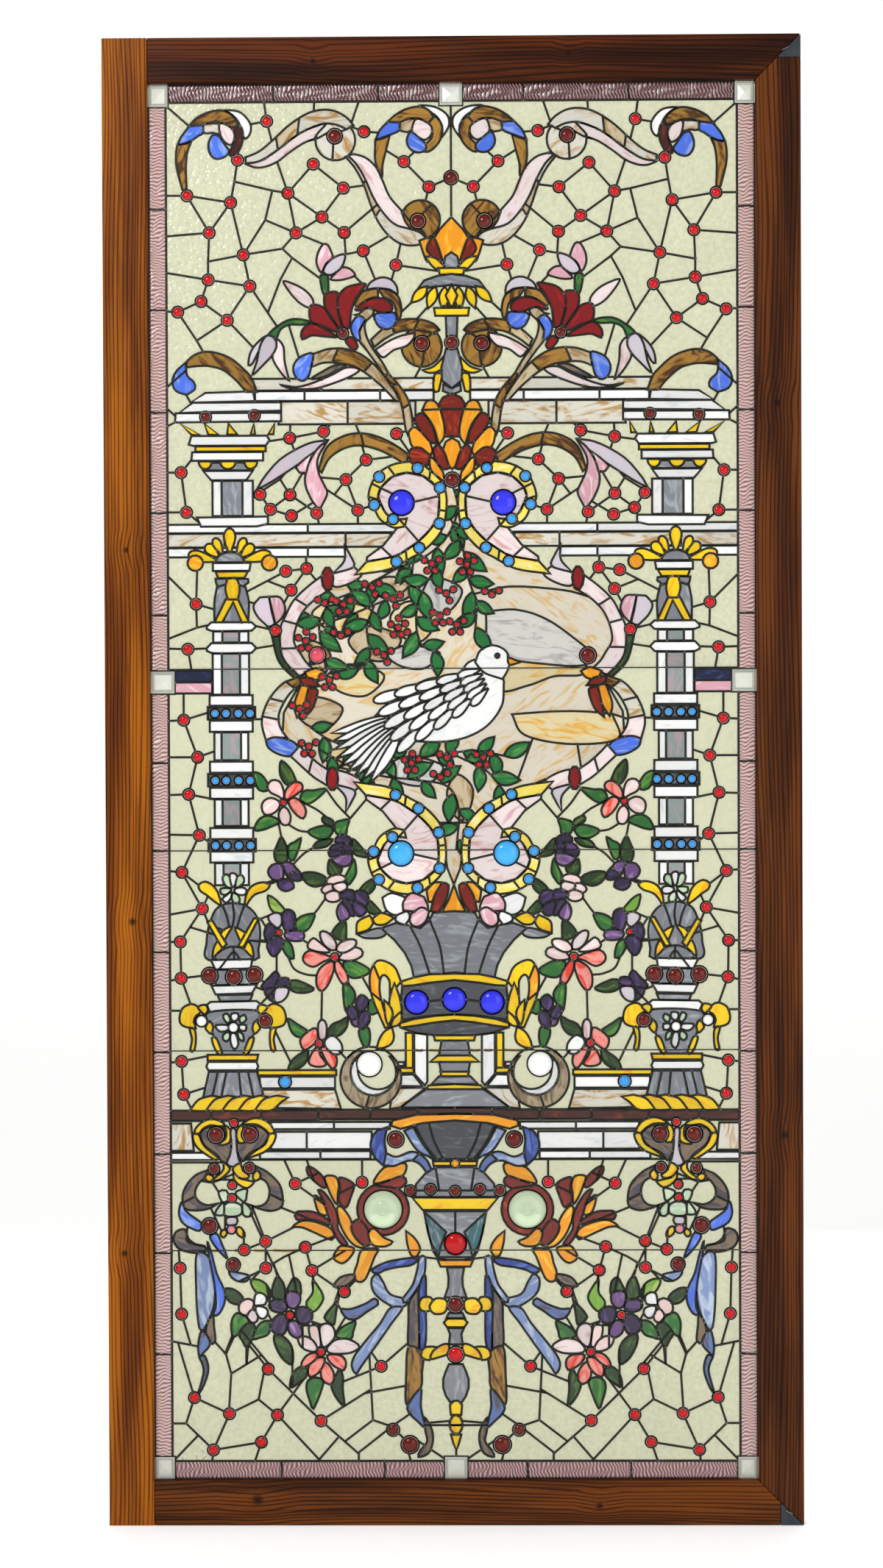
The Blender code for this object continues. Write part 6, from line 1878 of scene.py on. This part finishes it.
def sheet_glass(name, kind, lumps, variety=0.16):
    """Streaky opalescent sheet with painted shade in the dents of its face and a little painted light on
    their tops; lumps is how strongly its face is hammered and how much shade is painted into its dents.
    """
    material, tree, shader = blank(name)
    main, streak, amount = GLASS[kind]
    grain = carried(tree, "grain", "Vector")
    wisps = noise(tree, stretched(tree, grain, *WISPS), 1.0, 4.0, 1.6)
    share = ranged(tree, wisps, 0.66 - 0.4 * amount, 0.82 - 0.4 * amount)
    colour = mixed(tree, share, tint(main), tint(streak))
    if kind == "field":
        height = noise(tree, object_place(tree), HAMMER_MARKS, 1.5)
    else:
        height = noise(tree, grain, WAVES, 1.5)
    light = ranged(tree, carried(tree, "tone"), 0.0, 1.0, 1.0 - variety, 1.0 + variety * 0.6)
    # Painted shade and light: the hollows of the hammer marks and waves are darkened and their tops lightened
    # a little.
    relief_shade = ranged(tree, height, 0.35, 0.65, 1.0 - 0.12 * lumps, 1.0 + 0.04 * lumps)
    light = maths(tree, "MULTIPLY", light, relief_shade)
    grey = node(tree, "CombineColor", Red=light, Green=light, Blue=light).outputs[0]
    tree.links.new(mixed(tree, 1.0, colour, grey, "MULTIPLY"), shader.inputs["Base Color"])
    settle(shader, Roughness=0.14, Transmission_Weight=0.18, IOR=1.5)
    bump(tree, shader, height, lumps, 0.002)
    return material


def jewel_glass(name, rim_shade_colour, light, through, rough=0.05):
    """Pressed glass with painted light and shade: bright in the middle and painted deeper where it turns away
    from the view.
    """
    material, tree, shader = blank(name)
    # Painted shade and light: the facing weight darkens the colour towards the rim and keeps the middle
    # bright.
    edge = node(tree, "LayerWeight", Blend=0.45).outputs["Facing"]
    tree.links.new(mixed(tree, edge, tint(light), tint(rim_shade_colour)), shader.inputs["Base Color"])
    settle(shader, Roughness=rough, Transmission_Weight=through, IOR=1.45, Specular_IOR_Level=0.4)
    return material


def rippled_glass(name, low, mid, high):
    """Strip glass with painted shade in the hollows of its ripples and a painted highlight on their crests.
    """
    material, tree, shader = blank(name)
    # The crest height, carried as tone, paints shade into the hollows and a highlight onto the crests.
    colour = ramp(tree, carried(tree, "tone"), (0.1, low), (0.55, mid), (0.97, high))
    tree.links.new(colour, shader.inputs["Base Color"])
    settle(shader, Roughness=0.12, Transmission_Weight=0.12, Coat_Weight=0.5)
    return material


def lead_metal():
    """Dull lead with brighter, tinned patches."""
    material, tree, shader = blank("lead_came")
    where = object_place(tree)
    level = maths(tree, "MULTIPLY", noise(tree, where, 45, 4.0), carried(tree, "tone"))
    colour = ramp(tree, level, (0.2, "161712"), (0.38, "2E2F29"), (0.62, "6A6B64"), (0.95, "B4B5B0"))
    tree.links.new(colour, shader.inputs["Base Color"])
    settle(shader, Metallic=0.5, Roughness=0.38)
    bump(tree, shader, noise(tree, where, 220, 2.0), 0.3, 0.001)
    return material


def from_knot(tree, where, centre):
    """The distance from a knot, which goes straight through the member."""
    flat = stretched(tree, where, 1, 0, 1)
    gap = node(tree, "VectorMath", operation="DISTANCE", i0=flat, i1=(centre[0], 0, centre[1]))
    return gap.outputs["Value"]


def wood(name, upright, dark, mid, light, seed, knots=()):
    """Stained pine: fine growth lines that run along the member and swing round its knots."""
    material, tree, shader = blank(name)
    where = object_place(tree)
    parts = node(tree, "SeparateXYZ", i0=where).outputs
    length, width = (parts[2], parts[0]) if upright else (parts[0], parts[2])
    flat = node(tree, "CombineXYZ", i0=length, i1=width, i2=parts[1]).outputs[0]
    flat = node(tree, "VectorMath", operation="ADD", i0=flat, i1=(seed, seed * 0.7, seed * 0.3)).outputs[0]
    swing = noise(tree, stretched(tree, flat, 1.5, 6, 6), 1.0, 1.0)
    phase = maths(tree, "MULTIPLY_ADD", width, LINES, maths(tree, "MULTIPLY", swing, LINE_SWING))
    uneven = noise(tree, stretched(tree, flat, 0.5, 45, 45), 1.0, 1.0)
    phase = maths(tree, "MULTIPLY_ADD", uneven, LINE_DRIFT, phase)
    for centre, radius in knots:
        near = ranged(tree, from_knot(tree, where, centre), 0.0, radius * 6, KNOT_SWING, 0.0)
        phase = maths(tree, "ADD", phase, near)
    lines = ranged(tree, maths(tree, "SINE", phase), 0.1, 1.0)
    pores = noise(tree, stretched(tree, flat, 9, 420, 420), 1.0, 2.0)
    patch = noise(tree, stretched(tree, flat, 2.0, 28, 28), 1.0, 3.0)
    share = maths(tree, "MULTIPLY_ADD", lines, -0.24, patch)
    share = maths(tree, "MULTIPLY_ADD", pores, 0.30, share)
    colour = ramp(tree, share, (0.30, dark), (0.56, mid), (0.76, light))
    for centre, radius in knots:
        near = ranged(tree, from_knot(tree, where, centre), radius * 0.3, radius, 0.85, 0.0)
        colour = mixed(tree, near, colour, tint(KNOT))
    tree.links.new(colour, shader.inputs["Base Color"])
    settle(shader, Roughness=0.4, Specular_IOR_Level=0.1)
    bump(tree, shader, pores, 0.2, 0.0006)
    return material


def plain(name, code, roughness, metallic=0.0, other=None):
    """A paint or metal with slight blotches."""
    material, tree, shader = blank(name)
    blotches = noise(tree, object_place(tree), 30, 3.0)
    tree.links.new(ramp(tree, blotches, (0.35, code), (0.7, other or code)), shader.inputs["Base Color"])
    settle(shader, Roughness=roughness, Metallic=metallic)
    return material


def circle(x, z, radius, sides):
    """Corners of a circle, starting on its right."""
    turns = [2 * math.pi * k / sides for k in range(sides)]
    return [(x + radius * math.cos(t), z + radius * math.sin(t)) for t in turns]


def skirt(rings, sides):
    """Faces between rings of corners that follow each other."""
    faces = []
    for ring in range(rings - 1):
        for k in range(sides):
            a, b = ring * sides + k, ring * sides + (k + 1) % sides
            faces.append((a, b, b + sides, a + sides))
    return faces


def add_dome(shape, x, z, radius, rise, profile, sides):
    """A pressed round jewel turned from its profile."""
    base = SHEET_FRONT - JEWEL_FOOT
    rings = len(profile)
    verts = []
    for reach, lift in profile:
        verts += [(px, base - rise * lift, pz) for px, pz in circle(x, z, radius * reach, sides)]
    verts.append((x, base - rise, z))
    faces = skirt(rings, sides)
    last = (rings - 1) * sides
    faces += [(last + k, last + (k + 1) % sides, len(verts) - 1) for k in range(sides)]
    verts += [(px, SHEET_BACK, pz) for px, pz in circle(x, z, radius, sides)]
    first = rings * sides + 1
    faces += [((k + 1) % sides, k, first + k, first + (k + 1) % sides) for k in range(sides)]
    faces.append(tuple(first + k for k in reversed(range(sides))))
    shape.add(verts, faces)


def add_block(shape, left, right, low, high):
    """A pressed square block with sloping sides and a shallow pyramid."""
    verts = []
    for inset, y in BLOCK_LEVELS:
        verts += [(left + inset, y, low + inset), (right - inset, y, low + inset),
                  (right - inset, y, high - inset), (left + inset, y, high - inset)]
    verts.append(((left + right) / 2, SHEET_FRONT - BLOCK_RISE, (low + high) / 2))
    tip = len(verts) - 1
    faces = [(3, 2, 1, 0)] + skirt(len(BLOCK_LEVELS), 4)
    faces += [(tip - 4 + k, tip - 4 + (k + 1) % 4, tip) for k in range(4)]
    shape.add(verts, faces)


def ripple_crest(s, t, phase):
    """How high a ripple stands, from 0 to 1, at s along the strip and t across it."""
    turn = s / RIPPLE_LENGTH * 2 * math.pi + 2.6 * math.sin(t / 5.5 + phase + s / 23) + phase
    turn += 1.3 * math.sin(t / 2.4 - s / 9) + 2.2 * math.sin(s / 14 + t / 11)
    return 0.5 + 0.5 * math.sin(turn)


def add_ripples(shape, left, right, low, high, chance):
    """A strip of rippled glass with wavy ridges across its length."""
    upright = high - low > right - left
    length, width = (high - low, right - left) if upright else (right - left, high - low)
    rows, columns = max(4, round(length / 1.6)), max(4, round(width / 2.8))
    phase = chance.uniform(0, 6)
    verts = []
    tops = []
    for i in range(rows + 1):
        for j in range(columns + 1):
            s, t = length * i / rows, width * j / columns
            crest = ripple_crest(s, t, phase)
            rise = RIPPLE_RISE * crest ** 1.6 * min(1, t / 2, (width - t) / 2)
            x, z = (left + t, low + s) if upright else (left + s, low + t)
            verts.append((x, SHEET_FRONT - rise, z))
            tops.append(crest)
    across = columns + 1
    starts = [i * across + j for i in range(rows) for j in range(columns)]
    faces = [(a, a + 1, a + across + 1, a + across) for a in starts]
    rim = list(range(columns)) + [i * across + columns for i in range(rows)]
    rim += [rows * across + j for j in range(columns, 0, -1)] + [i * across for i in range(rows, 0, -1)]
    back = len(verts)
    verts += [(verts[k][0], SHEET_BACK, verts[k][2]) for k in rim]
    n = len(rim)
    faces += [(rim[k], back + k, back + (k + 1) % n, rim[(k + 1) % n]) for k in range(n)]
    faces.append(tuple(back + k for k in reversed(range(n))))
    first = len(shape.verts)
    shape.add(verts, faces if upright else [face[::-1] for face in faces])
    # The crest heights become the tone, which paints shade into the hollows and a highlight onto the crests.
    shape.tones[first:] = tops + [0.2] * n


def make_glass(net):
    """The sheet glass: the ground and the ornament of each section, in their own pieces."""
    chance = random.Random(7)
    materials = {kind: sheet_glass("glass_" + kind, kind, 0.12) for kind in sorted(GLASS)}
    grounds = {}
    for section in SECTIONS:
        lumps = 0.7 if section in ("top", "foot") else 0.35
        grounds[section] = sheet_glass("ground_" + section, "field", lumps, 0.03)
    shapes = {}
    for kind, triangles in net.pieces():
        if kind not in GLASS:
            continue
        corners = [net.points[k] for t in triangles for k in t]
        section = section_of(sum(p.y for p in corners) / len(corners))
        name = "ground" if kind == "field" else "ornament"
        shape = shapes.setdefault((name, section), Shape())
        if kind not in shape.kinds:
            shape.kinds.append(kind)
        add_pane(shape, net, triangles, shape.kinds.index(kind), chance)
    for (name, section), shape in shapes.items():
        palette = [grounds[section] if kind == "field" else materials[kind] for kind in shape.kinds]
        piece = shape.make(name + "_" + section, palette)
        if name == "ground":
            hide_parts("glass_" + section)


def make_leads(net, drawing, metal):
    """The cames and their solder, one net to a section."""
    chance = random.Random(11)
    runs, meetings = net.chains()
    shapes = {section: Shape() for section in SECTIONS}
    for run, width, closed in met(runs, drawing.jewels):
        middle = run[len(run) // 2]
        add_came(shapes[section_of(middle.y)], plainer(run), width, closed)
    for spot, width in meetings:
        add_solder(shapes[section_of(spot.y)], spot, width, chance)
    for section, shape in shapes.items():
        piece = shape.make("leads_" + section, [metal])
        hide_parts("lead_front_" + section, "lead_back_" + section)


def make_damage():
    """The hairline cracks near the foot and the thin brown strips along two of the seams."""
    cracks = Shape()
    for run in CRACKS:
        add_came(cracks, smooth(run), CRACK, False, profile=FILM)
    cracks.make("cracks", [plain("crack_line", "3C3A2C", 0.6, other="5A563E")])
    brown_lines = Shape()
    for z, spans in SEAM_SPANS:
        for left, right in spans:
            run = ((left, z + 0.4), ((left + right) / 2, z - 0.5), (right, z + 0.3))
            add_came(brown_lines, smooth(run), SEAM_MARK_WIDTH, False, profile=FILM)
    brown_lines.make("seam_lines_brown", [plain("brown_seam_film", "6E5420", 0.6, other="9A8450")])


def quarter(rings):
    """The profile of a dome: share of the radius and of the rise at each ring."""
    turns = [math.pi / 2 * k / rings for k in range(rings)]
    return [(math.cos(t), math.sin(t)) for t in turns]


def make_jewels(drawing, metal):
    """Every jewel as a dome; the large ones stand for their own solids."""
    rims = Shape()
    groups = {}
    for x, z, radius, kind in drawing.jewels:
        large = radius > LARGE
        shape = groups.setdefault(kind, Shape())
        profile = TURNED if kind == "rondel" else quarter(5 if large else 4)
        inset = 0.6 if large else SEAT
        add_dome(shape, x, z, radius - inset, min(0.42 * radius, 7.0), profile, 32 if large else 14)
        steps = 28 if large else 16
        if radius > SMALL:
            add_came(rims, arc(x, z, radius, radius, 0, 360, steps), THIN_CAME, True)
            add_came(rims, arc(x, z, radius - SEAT, radius - SEAT, 0, 360, steps), SEAT_CAME, True, SEAT_RING_TONE)
    for kind, shape in groups.items():
        rim_shade_colour, light, through, slot = JEWEL_COLOURS[kind]
        piece = shape.make("jewels_" + kind, [jewel_glass("jewel_" + kind, rim_shade_colour, light, through)], True)
        if kind in LARGE_JEWELS:
            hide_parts(*LARGE_JEWELS[kind])
    rims.make("jewel_rims", [metal])


def make_border(drawing):
    """The rippled strips and the pressed blocks of the border."""
    chance = random.Random(5)
    strips = {kind: Shape() for kind in RIPPLES}
    for _, kind, outline in drawing.panes:
        if kind in strips:
            xs = [p.x for p in outline]
            zs = [p.y for p in outline]
            add_ripples(strips[kind], min(xs) + 1, max(xs) - 1, min(zs) + 1, max(zs) - 1, chance)
    for kind, shape in strips.items():
        shape.make("strips_" + kind, [rippled_glass(kind, *RIPPLES[kind])], True)
    # The pressed blocks get the same painted shade where their facets turn away from the view, and painted
    # light where they face it.
    clear = jewel_glass("pressed_clear", "4E524C", "DCDDD2", 0.3, 0.06)
    for name in BLOCKS:
        low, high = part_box(name)
        shape = Shape()
        add_block(shape, low.x / MM, high.x / MM, low.z / MM, high.z / MM)
        piece = shape.make("pressed_" + name, [clear])
        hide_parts(name)


def dress(material, nodes):
    """The material on solids that come from the CAD."""
    for name in nodes:
        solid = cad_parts[name]
        solid.data.materials.clear()
        solid.data.materials.append(material)


def make_frame():
    """Stained pine, each member with its own figure, and the steel and paint on it."""
    for name, upright, colours, seed, knots, nodes in PINE:
        dress(wood("pine_" + name, upright, *colours, seed, knots), nodes)
    dress(plain("wedge_paint", "101820", 0.5, other="26303A"), ("wedge_top", "wedge_bottom"))
    bars = tuple("saddle_bar_" + str(k + 1) for k in range(len(SEAMS)))
    dress(plain("dull_steel", "5A5854", 0.45, 0.9, "8A8780"), ("nail_top", "nail_bottom") + bars)


def make_floor():
    """A pale floor that turns up into a wall far behind the window."""
    backdrop = plain("pale_backdrop", "FBFBFA", 0.9, other="FDFDFC")
    settle(backdrop.node_tree.nodes["Principled BSDF"], Emission_Color=WHITE, Emission_Strength=0.34)
    sweep = [(-ROOM, 0.0)]
    for k in range(13):
        t = math.radians(90 * k / 12)
        sweep.append((WALL - SWEEP + SWEEP * math.sin(t), SWEEP - SWEEP * math.cos(t)))
    sweep.append((WALL, ROOM))
    mesh = bpy.data.meshes.new("floor")
    mesh.from_pydata([(x, y, z) for y, z in sweep for x in (-ROOM, ROOM)], [],
                     [(2 * k, 2 * k + 1, 2 * k + 3, 2 * k + 2) for k in range(len(sweep) - 1)])
    mesh.polygons.foreach_set("use_smooth", [True] * len(mesh.polygons))
    mesh.materials.append(backdrop)
    floor = bpy.data.objects.new("floor", mesh)
    bpy.context.scene.collection.objects.link(floor)


def make_lights():
    """Soft lights that look at the middle of the window, and an even white world."""
    for name, place, size, power in LIGHTS:
        light = bpy.data.lights.new(name, "AREA")
        light.size = size
        light.energy = power
        lamp = bpy.data.objects.new(name, light)
        lamp.location = place
        lamp.rotation_euler = (Vector(AIM) - Vector(place)).to_track_quat("-Z", "Y").to_euler()
        bpy.context.scene.collection.objects.link(lamp)
    world = bpy.data.worlds.new("studio")
    world.use_nodes = True
    settle(world.node_tree.nodes["Background"], Color=WHITE, Strength=0.55)
    bpy.context.scene.world = world
    bpy.context.scene.view_settings.view_transform = "Standard"


def make_camera():
    """The camera at the photograph's place."""
    lens = bpy.data.cameras.new("view")
    lens.sensor_fit = "VERTICAL"
    lens.sensor_height = 36
    lens.lens = 85
    camera = bpy.data.objects.new("view", lens)
    camera.location = (0.0787, -5.6912, 1.2323)
    camera.rotation_euler = [math.radians(a) for a in (89.064, 0.236, 0.975)]
    bpy.context.scene.collection.objects.link(camera)
    bpy.context.scene.camera = camera


drawing = draw_window()
net = Net(drawing)
lead = lead_metal()
make_glass(net)
make_leads(net, drawing, lead)
make_damage()
make_jewels(drawing, lead)
make_border(drawing)
make_frame()
make_floor()
make_lights()
make_camera()
